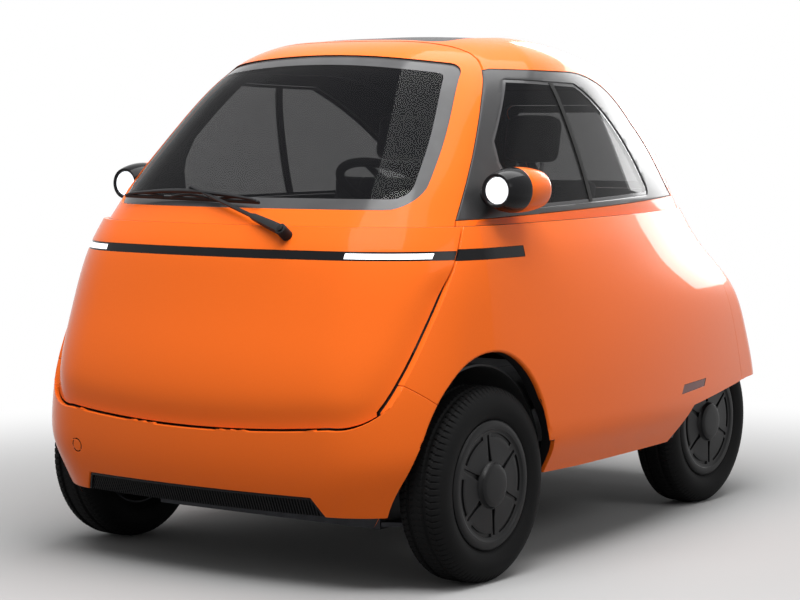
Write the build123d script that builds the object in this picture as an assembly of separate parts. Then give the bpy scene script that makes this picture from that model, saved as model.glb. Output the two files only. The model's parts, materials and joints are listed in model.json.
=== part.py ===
"""Two-seat electric microcar with a front door, as separate solids in millimetres.

Frame: +Z up, front of the car towards -Y, the car's left side towards +X,
origin on the ground under the middle of the car's length and width.
"""
from build123d import *
import os

os.makedirs("parts", exist_ok=True)

# ---- driving dimensions (mm) ------------------------------------------------
FRONT_AXLE_Y = -799.0
WHEELBASE = 1560.0
REAR_AXLE_Y = FRONT_AXLE_Y + WHEELBASE
FRONT_TYRE_FACE = 701.0        # outer face of a front tyre, from the middle
REAR_TYRE_FACE = 503.0
TYRE_R = 266.5
TYRE_W = 145.0
RIM_R = 165.0                  # bead seat of the 13 inch rim
AXLE_Z = TYRE_R
POD_FACE = 736.5               # outer end of a lamp pod: half the car's width

HATCH_HALF = 300.0
HATCH_TOP = 1345.0

WALL = 42.0                    # lower body and door
PILLAR = 36.0                  # roof, pillars and window frames
SEAT = 0.3                     # seating gap between neighbouring pieces
DOOR_LIP = 12.0                # outer depth of the door that keeps its full lower corner
DOOR_GAP = 6.0                 # panel gap round the door and the hatch
GLASS_T = 5.0
GLASS_IN = 5.0                 # how far glass lies under the outer skin
SEAL_IN = 16.0
SEAL_T = 10.0
DOOR_SEAL_Z = 640.0            # the door seal starts above its hinged corner
TRIM_IN = 2.0
TRIM_T = 24.0
WAIST_Z = 962.0
SKIRT_Z = 392.0

WELL_IN = 412.0                # inner wall of a front wheel well
WELL_R = 307.0                 # room for the steered tyre
ARCH_SKIN = 5.0                # body skin outside the tyre face
LINER_R = 318.0
SIDE_CLEAR = 5.5               # room beside a rear tyre
LINER_T = 6.0
REAR_WELL_IN = 345.0
REAR_WELL_R = 287.0
KINGPIN_X = 590.0
TUB_X = 400.0                  # half width of the foot tub
TUB_WALL = 10.0
FLOOR_Z = 252.0
FLOOR_T = 30.0
TUB_FRONT_Y = -1150.0
TUB_TOP = 640.0
FLOOR_FRONT_Y = -478.0
BULKHEAD_Y = 440.0
DECK_Z = 556.0                 # luggage floor
DECK_T = 16.0
MAT_T = 4.0                    # raised middle of the deck, clear of the leaning walls

BULKHEAD_T = 12.0
REAR_END_Y = 1180.0

BEAM_LOW_Z = 132.0             # underside of the front cross beam
KNUCKLE_HALF = 115.0           # ball joints above and below the axle
KNUCKLE_T = 30.0
ARM_T = 12.0
SPINDLE_R = 15.0
HUB_R = 34.0
BORE_CLEAR = 0.05              # running clearance of a wheel on its spindle
DISC_IN = 20.0                 # wheel disc, outboard of the tyre's middle
COVER_IN = 61.0                # back of the wheel cover, outboard of the tyre's middle
COVER_T = 6.0
COVER_R = 175.0
CAP_R = 48.0
DAMPER_R = 24.0

SEAT_X = 245.0                 # middle of each seat
SEAT_W = 1000.0
CUSHION_Z = 400.0
CUSHION_T = 120.0
CUSHION_Y = (-480.0, -10.0)
BACK_FOOT_Y = -55.0
BACK_LEAN = 12.0
BACK_H = 575.0
BACK_T = 85.0
HEADREST = (190.0, 90.0, 150.0)
HEADREST_RISE = 32.0           # length of the posts between back and headrest
COLUMN_LEAN = 30.0
COLUMN_R = 20.0
STEER_POINT = (250.0, -640.0, 1050.0)   # middle of the steering wheel
STEER_RING_R = 160.0
STEER_GRIP_R = 13.0

POD_R = 62.0                   # lamp and mirror pod, round about a fore and aft axis
POD_HALF = 130.0
POD_Y = -690.0
POD_Z = 1050.0
POD_SEAM_Y = -690.0
LAMP_R = 41.0
LAMP_Y = -778.0
MIRROR_Y = -582.0
MIRROR_R = 48.0
MIRROR_RIM = 4.0               # cap around the mirror glass

# Plan outlines of the body from the ground up. Columns: height, front y, front bow, half width at
# the front corner, widest half width, its y, half width at the rear corner, rear bow, rear y,
# front corner radius, rear corner radius.
LOWER = [
    (205, -1215, 60, 600, 640, -800, 470, 40, 1240, 240, 190),
    (268, -1240, 65, 634, 668, -800, 472, 50, 1250, 270, 200),
    (340, -1256, 70, 664, 706, -800, 465, 55, 1257, 295, 220),
    (420, -1259.5, 72, 670, 716, -800, 455, 58, 1259.5, 312, 235),
    (540, -1250, 75, 662, 714, -800, 438, 60, 1247, 328, 262),
    (700, -1202, 78, 650, 700, -800, 400, 60, 1205, 331, 286),
    (840, -1160, 85, 626, 682, -800, 345, 55, 1070, 330, 320),
    (905, -1138, 90, 600, 668, -800, 330, 55, 1010, 330, 310),
    (962, -1106, 90, 570, 650, -800, 325, 50, 955, 320, 294),
]
UPPER = [
    (962, -1092, 90, 575, 626, -780, 320, 50, 955, 300, 300),
    (1060, -1012, 85, 560, 606, -640, 301, 50, 892, 270, 310),
    (1180, -905, 80, 522, 576, -520, 291, 50, 795, 265, 290),
    (1300, -795, 72, 476, 538, -400, 278, 50, 674, 263, 254),
    (1400, -690, 66, 417, 486, -300, 255, 50, 530, 265, 225),
    (1460, -575, 60, 338, 405, -250, 185, 50, 360, 235, 185),
    (1490, -410, 45, 245, 300, -180, 110, 40, 175, 170, 105),
    (1501, -250, 30, 110, 120, -120, 40, 20, -30, 90, 35),
]
ROOF_CURVE_Z = 1350.0          # above this the roof turns over, so walls are measured downwards
FAR = 1600.0                   # reach of the cutting prisms
OVERRUN = 20.0                 # how far inner lofts run past the ends of a table

NODES = {}


def keep(name, shape):
    """Store a piece, or several separate solids, under a node's name."""
    NODES[name] = shape


# ---- helpers ----------------------------------------------------------------
def plan_face(row, inset):
    """One horizontal body section: bowed nose and tail, rounded corners, curved flanks."""
    z, front_y, front_bow, front_w, wide_w, wide_y, rear_w, rear_bow, rear_y, front_r, rear_r = row
    front_y, rear_y = front_y + inset, rear_y - inset
    front_w, wide_w, rear_w = front_w - inset, wide_w - inset, rear_w - 0.8 * inset
    front_r, rear_r = max(front_r - inset, 20), max(rear_r - inset, 20)
    corner_f, corner_r = front_y + front_bow, rear_y - rear_bow
    nose = ThreePointArc((-front_w, corner_f, z), (0, front_y, z), (front_w, corner_f, z))
    side_l = Line((front_w, corner_f, z), (wide_w, wide_y, z))
    flank_l = TangentArc((wide_w, wide_y, z), (rear_w, corner_r, z), tangent=(0, 1, 0))
    tail = ThreePointArc((rear_w, corner_r, z), (0, rear_y, z), (-rear_w, corner_r, z))
    flank_r = TangentArc((-wide_w, wide_y, z), (-rear_w, corner_r, z), tangent=(0, 1, 0))
    side_r = Line((-wide_w, wide_y, z), (-front_w, corner_f, z))
    face = Face(Wire([nose, side_l, flank_l, tail, flank_r, side_r]))
    face = face.fillet_2d(front_r, [v for v in face.vertices() if abs(v.Y - corner_f) < 0.01])
    ends = [v for v in face.vertices() if abs(v.Y - corner_r) < 0.01 and abs(abs(v.X) - rear_w) < 0.01]
    return face.fillet_2d(rear_r, ends)


def beyond(first, second, step):
    """A row past the end of a table, in line with its last two rows."""
    share = step / abs(second[0] - first[0])
    return tuple(a + (a - b) * share for a, b in zip(first, second))


LOFTS = {}


def lower_loft(inset):
    """The lower body, each wall moved in by inset. Inner ones run past both ends."""
    if ("lower", inset) not in LOFTS:
        rows = [beyond(LOWER[0], LOWER[1], OVERRUN)] + LOWER + [beyond(LOWER[-1], LOWER[-2], OVERRUN)]
        solid = loft([plan_face(row, inset) for row in rows])
        if inset <= 0:
            solid = solid & box(-FAR, FAR, -FAR, FAR, LOWER[0][0] + inset, WAIST_Z - inset)
        LOFTS["lower", inset] = solid
    return LOFTS["lower", inset]


def upper_loft(inset):
    """Cabin and roof, each wall moved in by inset and the roof moved down by it."""
    if ("upper", inset) not in LOFTS:
        rows = []
        for row in [beyond(UPPER[0], UPPER[1], OVERRUN)] + UPPER:
            over = max(0.0, row[0] - ROOF_CURVE_Z) / (UPPER[-1][0] - ROOF_CURVE_Z)
            rows.append((row[0] - inset * over,) + tuple(row[1:]))
        solid = loft([plan_face(row, inset) for row in rows])
        if inset <= 0:
            solid = solid & box(-FAR, FAR, -FAR, FAR, WAIST_Z + inset, FAR)
        LOFTS["upper", inset] = solid
    return LOFTS["upper", inset]


def side_prism(face, x0, x1):
    """Extrude a (y, z) outline along X."""
    return extrude(Plane.YZ.offset(x0) * face, amount=x1 - x0)


def front_prism(face, y0, y1):
    """Extrude an (x, z) outline along Y."""
    plane = Plane(origin=(0, y1, 0), x_dir=(1, 0, 0), z_dir=(0, -1, 0))
    return extrude(plane * face, amount=y1 - y0)


def plan_prism(face, z0, z1):
    """Extrude an (x, y) outline along Z."""
    return extrude(Plane.XY.offset(z0) * face, amount=z1 - z0)


def box(x0, x1, y0, y1, z0, z1):
    return Pos((x0 + x1) / 2, (y0 + y1) / 2, (z0 + z1) / 2) * Box(x1 - x0, y1 - y0, z1 - z0)


def rod(start, end, radius):
    start, end = Vector(*start), Vector(*end)
    plane = Plane(origin=start, z_dir=end - start)
    return Solid.make_cylinder(radius, (end - start).length, plane)


def ring_x(x0, x1, y, z, inner, outer):
    """A tube along X."""
    return rod((x0, y, z), (x1, y, z), outer) - rod((x0 - 1, y, z), (x1 + 1, y, z), inner)


def mirrored(shape):
    return mirror(shape, about=Plane.YZ)


def both(shape):
    """The piece and its mirror image, as two solids of one node."""
    return Compound(list(shape.solids()) + list(mirrored(shape).solids()))


def grown(face, amount):
    return offset(face, amount=amount, kind=Kind.INTERSECTION)


def closed(*points):
    return make_face(Polyline(*points, close=True))


# ---- outlines that cut the body into panels ---------------------------------
def door_side_view():
    """Side view of the door: ahead of the slanted rear edge and under the roof seam."""
    return closed((-1400, 380), (-1150, 380), (-1150, 490), (-1107, 561), (-846, 974),
                  (-523, 1411), (-990, 1582), (-1400, 1582))


def door_front_view():
    """Front view of the door: bowed bottom edge with round corners."""
    low, corner, turn = 425, (459, 447), (583, 491)
    top = (622, 561)
    flip = [(-p[0], p[1]) for p in (corner, turn, top)]
    edges = [ThreePointArc(flip[0], (0, low), corner), ThreePointArc(corner, turn, top)]
    edges += [Polyline(top, (900, 561), (900, FAR), (-900, FAR), (-900, 561), flip[2])]
    edges += [ThreePointArc(flip[2], flip[1], flip[0])]
    return make_face(Curve() + edges)


def windshield_face(edge):
    """Front view of the glass with its black border, each edge moved out by edge."""
    foot, waist, head = (540 + edge, 1007 - edge), (503 + edge, 1180), (425 + edge, 1402 + edge)
    crown = (0, 1430 + edge)
    flip = [(-p[0], p[1]) for p in (foot, waist, head)]
    edges = [Line(flip[0], foot), ThreePointArc(foot, waist, head)]
    edges += [ThreePointArc(head, crown, flip[2]), ThreePointArc(flip[2], flip[1], flip[0])]
    face = make_face(Curve() + edges)
    return fillet(face.vertices(), 48)


def side_trim_face():
    """Side view of the black window frame, from the door gap to its rear tip."""
    edges = [Line((-834, 977), (728, 1003)), ThreePointArc((728, 1003), (585, 1128), (400, 1237))]
    edges += [ThreePointArc((400, 1237), (160, 1352), (-110, 1389)), Line((-110, 1389), (-528, 1391))]
    edges += [Line((-528, 1391), (-834, 977))]
    face = make_face(Curve() + edges)
    return face


def side_glass_face():
    """Side view of the side window's glass."""
    edges = [Polyline((440, 1016), (-566, 1001), (-606, 1130), (-596, 1192), (-440, 1362), (-70, 1353))]
    edges += [ThreePointArc((-70, 1353), (146, 1252), (440, 1016))]
    return make_face(Curve() + edges)


def hatch_face():
    """Rear view of the tail hatch, with upright sides so that it swings clear."""
    face = closed((-HATCH_HALF, 590), (HATCH_HALF, 590), (HATCH_HALF, HATCH_TOP), (-HATCH_HALF, HATCH_TOP))
    return fillet(face.vertices(), 50)


def rear_window_face():
    face = closed((-245, 1020), (245, 1020), (222, 1298), (-222, 1298))
    return fillet(face.vertices(), 45)


def bumper_face():
    """Side view of the front bumper, under the door and ahead of the arch."""
    return closed((-1400, 100), (-900, 100), (-900, 440), (-1027, 505), (-1107, 561), (-1400, 640))


def tail_face():
    """Side view of the tail panel behind its seam."""
    return closed((905, 735), (952, 300), (1400, 300), (1400, 735))


def underside_face():
    """Side view of all that is cut away under the sills and skirts."""
    return closed((-497, 100), (-497, 262), (-300, 258), (300, 258), (455, 358), (760, 378),
                  (1000, SKIRT_Z), (1400, SKIRT_Z), (1400, 100))


def arch_cut():
    """Opening of one front wheel arch: tall half ellipse, flared at the sill."""
    mid_y, half, high = -808, 285, 361
    ring = Pos(mid_y, AXLE_Z) * Ellipse(half, high)
    foot = closed((mid_y - half, AXLE_Z), (mid_y - half, 100), (-488, 100), (-488, 250),
                  (-540, 360), (-560, 440), (-700, 440))
    return side_prism(ring + foot, FRONT_TYRE_FACE - 320, FAR / 2)


def rear_well_cut():
    """Room for a rear tyre in the side wall, stepped to follow the tyre's shoulder."""
    middle = REAR_TYRE_FACE - TYRE_W / 2
    steps = [(TYRE_W / 2 + SIDE_CLEAR, TYRE_R - 18), (TYRE_W / 2 - SIDE_CLEAR, TYRE_R),
             (TYRE_W / 2 - 3 * SIDE_CLEAR, TYRE_R + 8)]
    tool = None
    for out, radius in steps:
        step = rod((middle - TYRE_W, REAR_AXLE_Y, AXLE_Z), (middle + out, REAR_AXLE_Y, AXLE_Z), radius)
        tool = step if tool is None else tool + step
    return tool


def well_cut():
    return rod((WELL_IN, FRONT_AXLE_Y, AXLE_Z), (FRONT_TYRE_FACE + ARCH_SKIN, FRONT_AXLE_Y, AXLE_Z), WELL_R)


# ---- body panels ------------------------------------------------------------
def skin_layer(make_loft, depth, thickness):
    """A thin layer that follows the body at a depth under its outer skin."""
    return make_loft(depth) - make_loft(depth + thickness)


def door_region(gap):
    side = side_prism(grown(door_side_view(), gap), -FAR / 2, FAR / 2)
    front = front_prism(grown(door_front_view(), gap), -FAR, -200)
    return side & front


def door_relief():
    """Inner part of the door's lower corner on the hinge side, which would catch the bumper."""
    edge = closed((440, 400), (440, 450), (460, 462), (520, 476), (572, 504), (604, 562), (604, 600),
                  (700, 600), (700, 400))
    return front_prism(edge, -FAR, -900)


def make_body():
    lower = lower_loft(0) - lower_loft(WALL)
    upper = upper_loft(0) - upper_loft(PILLAR)
    door_tool, door_hole = door_region(0), door_region(DOOR_GAP)
    hatch_tool = front_prism(hatch_face(), 350, FAR)
    hatch_hole = front_prism(grown(hatch_face(), DOOR_GAP), 350, FAR)
    arches = arch_cut() + well_cut() + rear_well_cut()
    arches = arches + mirrored(arches)
    under = side_prism(underside_face(), -FAR / 2, FAR / 2)

    above = box(-FAR, FAR, -FAR, FAR, WAIST_Z + SEAT, FAR)
    door, door_top = lower & door_tool, upper & door_tool & above
    hatch, hatch_top = lower & hatch_tool, upper & hatch_tool & above
    rest = lower - door_hole - hatch_hole - under - arches
    bumper_tool = side_prism(bumper_face(), -FAR / 2, FAR / 2)
    bumper_hole = side_prism(grown(bumper_face(), SEAT), -FAR / 2, FAR / 2)
    tail_tool = side_prism(tail_face(), -FAR / 2, FAR / 2)
    tail_hole = side_prism(grown(tail_face(), SEAT), -FAR / 2, FAR / 2)
    bumper, tail = rest & bumper_tool, rest & tail_tool
    sides = rest - bumper_hole - tail_hole
    left = sides & box(0.5 * SEAT, FAR, -FAR, FAR, 0, FAR)

    trim_hole = side_prism(grown(side_trim_face(), SEAT), 250, FAR / 2)
    roof = upper - door_hole - hatch_hole - trim_hole - mirrored(trim_hole)
    return door, door_top, hatch, hatch_top, bumper, tail, left, roof


def main_solid(shape):
    """The largest solid of a cut, without slivers."""
    return max(shape.solids(), key=lambda s: s.volume)


def seal_ring(low, high, ring):
    """Rubber seal inside a panel gap: its low and high runs, cut apart at the waist."""
    low = (low & ring) & box(-FAR, FAR, -FAR, FAR, 0, WAIST_Z)
    high = (high & ring) & box(-FAR, FAR, -FAR, FAR, WAIST_Z, FAR)
    solids = list(low.solids()) + list(high.solids())
    return Compound([s for s in solids if s.volume > 2000])


def make_panels():
    door, door_top, hatch, hatch_top, bumper, tail, left, roof = make_body()

    # light strip across the door and along the flanks
    strip = skin_layer(lower_loft, 0, GLASS_T)
    strip_room = skin_layer(lower_loft, -1, GLASS_T + 1 + SEAT)
    across = box(-FAR / 2, FAR / 2, -FAR, -700, 876, 900)
    across_room = box(-FAR / 2, FAR / 2, -FAR, -700, 876 - SEAT, 900 + SEAT)
    lamp = box(425, 613, -FAR, -700, 881, 895)
    lamp_room = box(425 - SEAT, 613 + SEAT, -FAR, -700, 881 - SEAT, 895 + SEAT)
    door_tool = door_region(0)
    strip_front = (strip & across & door_tool) - lamp_room - mirrored(lamp_room)
    lamps = both(strip & lamp)
    door = door - (strip_room & across_room) - (door_relief() & lower_loft(DOOR_LIP))
    flank = box(560, FAR / 2, -1000, -605, 874, 904)
    flank_room = box(560, FAR / 2, -1000, -605 + SEAT, 874 - SEAT, 904 + SEAT)
    door_hole = door_region(DOOR_GAP)
    strip_side = (strip & flank) - door_hole
    left = left - (strip_room & flank_room)

    # glass set into the door and the hatch
    screen = front_prism(windshield_face(0), -FAR, -200)
    screen_room = front_prism(windshield_face(SEAT), -FAR, -200)
    back = front_prism(rear_window_face(), 350, FAR)
    back_room = front_prism(grown(rear_window_face(), SEAT), 350, FAR)
    pane = skin_layer(upper_loft, GLASS_IN, GLASS_T)
    door_top = door_top - screen_room
    hatch_top = hatch_top - back_room
    seal_low = skin_layer(lower_loft, SEAL_IN, SEAL_T)
    seal_high = skin_layer(upper_loft, SEAL_IN, SEAL_T)
    above = box(-FAR, FAR, -FAR, FAR, DOOR_SEAL_Z, FAR)
    ring = door_region(DOOR_GAP - SEAT) - door_region(SEAT)
    keep("door_seal", seal_ring(seal_low, seal_high, ring & above))
    ring = front_prism(grown(hatch_face(), DOOR_GAP - SEAT), 350, FAR)
    ring = ring - front_prism(grown(hatch_face(), SEAT), 300, FAR)
    keep("hatch_seal", seal_ring(seal_low, seal_high, ring))
    keep("door_shell", main_solid(door))
    keep("door_frame", main_solid(door_top))
    keep("windshield", main_solid(pane & screen & door_tool))
    keep("light_strip", main_solid(strip_front))
    keep("daytime_lamps", lamps)
    keep("hatch_frame", main_solid(hatch_top))
    keep("rear_window", main_solid(pane & back))

    # side windows in their black frames
    frame_face, glass_face = side_trim_face(), side_glass_face()
    layer = skin_layer(upper_loft, TRIM_IN, TRIM_T)
    trim_tool = side_prism(frame_face, 250, FAR / 2)
    glass_room = side_prism(grown(glass_face, SEAT), 250, FAR / 2)
    trim = main_solid((layer & trim_tool) - glass_room - box(250, FAR / 2, -FAR, FAR, 0, WAIST_Z + SEAT))
    keep("window_frames", both(trim))
    keep("side_windows", both(main_solid(pane & side_prism(glass_face, 250, FAR / 2))))

    # sunroof in the roof panel
    roof_hole = plan_prism(fillet((Pos(0, -120) * Rectangle(580, 720)).vertices(), 60), 1300, FAR)
    roof_panel = plan_prism(fillet((Pos(0, -120) * Rectangle(580 - 2 * SEAT, 720 - 2 * SEAT)).vertices(),
                                   60 - SEAT), 1300, FAR)
    cover = skin_layer(upper_loft, 6, 16)
    keep("sunroof", main_solid(cover & roof_panel))
    keep("roof_frame", main_solid(roof - roof_hole))

    # reflectors in the skirts
    mark = closed((345, 404), (545, 410), (562, 432), (366, 430))
    mark_room = side_prism(grown(mark, SEAT), 500, FAR / 2)
    left = left - (strip_room & mark_room)
    keep("side_reflectors", both(main_solid(strip & side_prism(mark, 500, FAR / 2))))
    left = main_solid(left)
    keep("side_panel_left", left)
    keep("side_panel_right", mirrored(left))
    keep("side_strips", both(main_solid(strip_side)))

    # lower grille in the bumper
    mouth = closed((-430, 196), (-395, 256), (395, 256), (430, 196))
    mouth_room = front_prism(grown(mouth, SEAT), -FAR, -1000)
    grille_layer = skin_layer(lower_loft, 8, 14)
    keep("lower_grille", main_solid(grille_layer & front_prism(mouth, -FAR, -1000)))
    keep("front_bumper", main_solid(bumper - mouth_room))

    # tail lamp bar across the hatch and tail panel
    reach = HATCH_HALF - 10
    tail_bar = box(-reach, reach, 900, FAR, 862, 890)
    tail_room = box(-reach - SEAT, reach + SEAT, 900, FAR, 862 - SEAT, 890 + SEAT)
    keep("tail_lamp", main_solid(strip & tail_bar))
    keep("hatch_shell", main_solid(hatch - (strip_room & tail_room)))
    keep("tail_panel", main_solid(tail))


# ---- under the skin ---------------------------------------------------------
def make_structure():
    inside = lower_loft(WALL + SEAT)
    wells = rod((WELL_IN, FRONT_AXLE_Y, AXLE_Z), (FAR, FRONT_AXLE_Y, AXLE_Z), LINER_R + LINER_T + SEAT)
    wells = wells + mirrored(wells)
    floor = inside & box(-FAR, FAR, FLOOR_FRONT_Y, BULKHEAD_Y, FLOOR_Z, FLOOR_Z + FLOOR_T)
    keep("floor_pan", main_solid(floor - wells))

    tub = box(-TUB_X, TUB_X, TUB_FRONT_Y, FLOOR_FRONT_Y - SEAT, FLOOR_Z, TUB_TOP)
    tub = tub - box(-TUB_X + TUB_WALL, TUB_X - TUB_WALL, TUB_FRONT_Y + TUB_WALL, 0, FLOOR_Z + TUB_WALL, FAR)
    tub = tub - box(-FAR, FAR, -FAR, -1040, 425, FAR)
    tub = tub - box(-FAR, FAR, CUSHION_Y[0] - SEAT, 0, CUSHION_Z - SEAT, FAR)
    keep("foot_tub", main_solid(tub & inside))

    liner = ring_x(WELL_IN + SEAT, 640, FRONT_AXLE_Y, AXLE_Z, LINER_R, LINER_R + LINER_T)
    liner = liner & inside & box(0, FAR, -FAR, FAR, AXLE_Z, FAR)
    cap = ring_x(WELL_IN + SEAT, WELL_IN + SEAT + LINER_T, FRONT_AXLE_Y, AXLE_Z, 150, LINER_R + 1)
    cap = cap & box(0, FAR, -FAR, FAR, AXLE_Z + 150, FAR)
    front = main_solid(liner + cap)
    rear = ring_x(REAR_WELL_IN, 560, REAR_AXLE_Y, AXLE_Z, REAR_WELL_R, REAR_WELL_R + LINER_T)
    rear = rear & inside & box(0, FAR, -FAR, FAR, 330, DECK_Z - SEAT)
    rear_solids = sorted(rear.solids(), key=lambda s: -s.volume)[:2]
    keep("arch_liners", Compound([front, mirrored(front)] + rear_solids
                                 + [mirrored(s) for s in rear_solids]))

    deck = inside & box(-FAR, FAR, BULKHEAD_Y + SEAT, REAR_END_Y, DECK_Z, DECK_Z + DECK_T)
    wall = box(-330, 330, BULKHEAD_Y + SEAT, BULKHEAD_Y + BULKHEAD_T, FLOOR_Z, DECK_Z + 2)
    mat = box(-330, 330, BULKHEAD_Y + 30, 1080, DECK_Z + DECK_T, DECK_Z + DECK_T + MAT_T)
    keep("luggage_deck", main_solid(deck + wall + mat))


def make_front_axle():
    beam = box(-TUB_X, TUB_X, FRONT_AXLE_Y - 110, FRONT_AXLE_Y + 110, BEAM_LOW_Z, FLOOR_Z - SEAT)
    keep("front_beam", beam - box(-300, 300, FRONT_AXLE_Y - 80, FRONT_AXLE_Y + 80, 0, 190))
    root, tip = TUB_X + SEAT, KINGPIN_X + 18
    plan = closed((root, FRONT_AXLE_Y - 105), (root, FRONT_AXLE_Y + 105), (530, FRONT_AXLE_Y + 22),
                  (tip, FRONT_AXLE_Y + 22), (tip, FRONT_AXLE_Y - 22), (530, FRONT_AXLE_Y - 22))
    plan = plan - Pos(root + 52, FRONT_AXLE_Y) * Rectangle(44, 70)
    upper = plan_prism(plan, AXLE_Z + KNUCKLE_HALF + SEAT, AXLE_Z + KNUCKLE_HALF + SEAT + ARM_T)
    lower = plan_prism(plan, AXLE_Z - KNUCKLE_HALF - SEAT - ARM_T, AXLE_Z - KNUCKLE_HALF - SEAT)
    keep("front_arms", Compound([upper, lower, mirrored(upper), mirrored(lower)]))

    half = KNUCKLE_T / 2
    post = box(KINGPIN_X - half, KINGPIN_X + half, FRONT_AXLE_Y - 20, FRONT_AXLE_Y + 20,
               AXLE_Z - KNUCKLE_HALF, AXLE_Z + KNUCKLE_HALF)
    arm = box(KINGPIN_X - half, KINGPIN_X, FRONT_AXLE_Y, FRONT_AXLE_Y + 100, AXLE_Z - 70, AXLE_Z - 52)
    middle = FRONT_TYRE_FACE - TYRE_W / 2
    spindle = rod((KINGPIN_X, FRONT_AXLE_Y, AXLE_Z), (middle + DISC_IN + 20, FRONT_AXLE_Y, AXLE_Z), SPINDLE_R)
    knuckle = post + arm + spindle
    keep("knuckle_left", knuckle)
    keep("knuckle_right", mirrored(knuckle))


def make_rear_axle():
    inner, outer = 290.0, 320.0
    body = box(-150, 150, REAR_AXLE_Y - 120, REAR_AXLE_Y + 120, 170, 420)
    feet = box(-120, -80, REAR_AXLE_Y - 30, REAR_AXLE_Y + 30, 419, DECK_Z - SEAT)
    keep("drive_unit", body + feet + mirrored(feet))
    arm = box(inner, outer, BULKHEAD_Y + BULKHEAD_T + SEAT, REAR_AXLE_Y + 40, AXLE_Z - 22, AXLE_Z + 28)
    shaft = rod((150 + SEAT, REAR_AXLE_Y, AXLE_Z), (inner + 1, REAR_AXLE_Y, AXLE_Z), 18)
    flange = rod((outer - 1, REAR_AXLE_Y, AXLE_Z), (outer + 18, REAR_AXLE_Y, AXLE_Z), 60)
    middle = REAR_TYRE_FACE - TYRE_W / 2
    spindle = rod((outer, REAR_AXLE_Y, AXLE_Z), (middle + DISC_IN + 20, REAR_AXLE_Y, AXLE_Z), SPINDLE_R)
    keep("rear_arms", both(arm + shaft + flange + spindle))

    top = AXLE_Z + LINER_R - 2
    low = AXLE_Z + KNUCKLE_HALF + ARM_T + 2 * SEAT
    front = rod((480, FRONT_AXLE_Y, low), (480, FRONT_AXLE_Y, top), DAMPER_R)
    rear_y = REAR_AXLE_Y - 90
    mid = (inner + outer) / 2
    rear = rod((mid, rear_y, AXLE_Z + 28 + SEAT), (mid, rear_y, DECK_Z - SEAT), DAMPER_R)
    keep("dampers", Compound([front, mirrored(front), rear, mirrored(rear)]))


def tyre():
    """Tyre about the X axis, middle at the origin: flat tread, round shoulders, bulged sides."""
    half = TYRE_W / 2
    bead, side, tread = RIM_R + SEAT, 215.0, 48.0
    right = [Line((50, bead), (58, 178)), ThreePointArc((58, 178), (half, side), (tread, TYRE_R))]
    left = [ThreePointArc((-tread, TYRE_R), (-half, side), (-58, 178)), Line((-58, 178), (-50, bead))]
    edges = right + [Line((tread, TYRE_R), (-tread, TYRE_R))] + left + [Line((-50, bead), (50, bead))]
    return revolve(Plane.XZ * make_face(Curve() + edges), Axis.X, 360)


def rim():
    """Rim, disc, hub and slotted cover about the X axis, outer side towards +X."""
    barrel = ring_x(-50, COVER_IN + 1, 0, 0, RIM_R - 10, RIM_R)
    disc = rod((DISC_IN, 0, 0), (DISC_IN + 12, 0, 0), RIM_R - 9)
    hub = rod((DISC_IN - 30, 0, 0), (DISC_IN + 12, 0, 0), HUB_R)
    cover = rod((COVER_IN, 0, 0), (COVER_IN + COVER_T, 0, 0), COVER_R)
    cap = rod((COVER_IN, 0, 0), (COVER_IN + COVER_T + 12, 0, 0), CAP_R)
    cover = cover + cap
    for k in range(6):
        slot = box(COVER_IN - 1, COVER_IN + COVER_T + 1, -4.5, 4.5, 62, 128)
        arc = ring_x(COVER_IN - 1, COVER_IN + COVER_T + 1, 0, 0, 138, 148)
        wedge = Plane.YZ * make_face(Polyline((0, 0), (-52, 190), (70, 190), close=True))
        arc = arc & extrude(wedge, amount=200)
        cover = cover - Rot(60 * k + 6, 0, 0) * slot - Rot(60 * k + 30, 0, 0) * arc
    wheel = barrel + disc + hub + cover
    return wheel - rod((DISC_IN - 40, 0, 0), (DISC_IN + 24, 0, 0), SPINDLE_R + BORE_CLEAR)


def make_wheels():
    rubber, metal = tyre(), rim()
    places = {
        "front_left": (FRONT_TYRE_FACE, FRONT_AXLE_Y), "rear_left": (REAR_TYRE_FACE, REAR_AXLE_Y),
    }
    for name, (face_x, y) in places.items():
        move = Pos(face_x - TYRE_W / 2, y, AXLE_Z)
        other = name.replace("left", "right")
        keep("tyre_" + name, move * rubber)
        keep("wheel_" + name, move * metal)
        keep("tyre_" + other, mirrored(move * rubber))
        keep("wheel_" + other, mirrored(move * metal))


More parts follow.
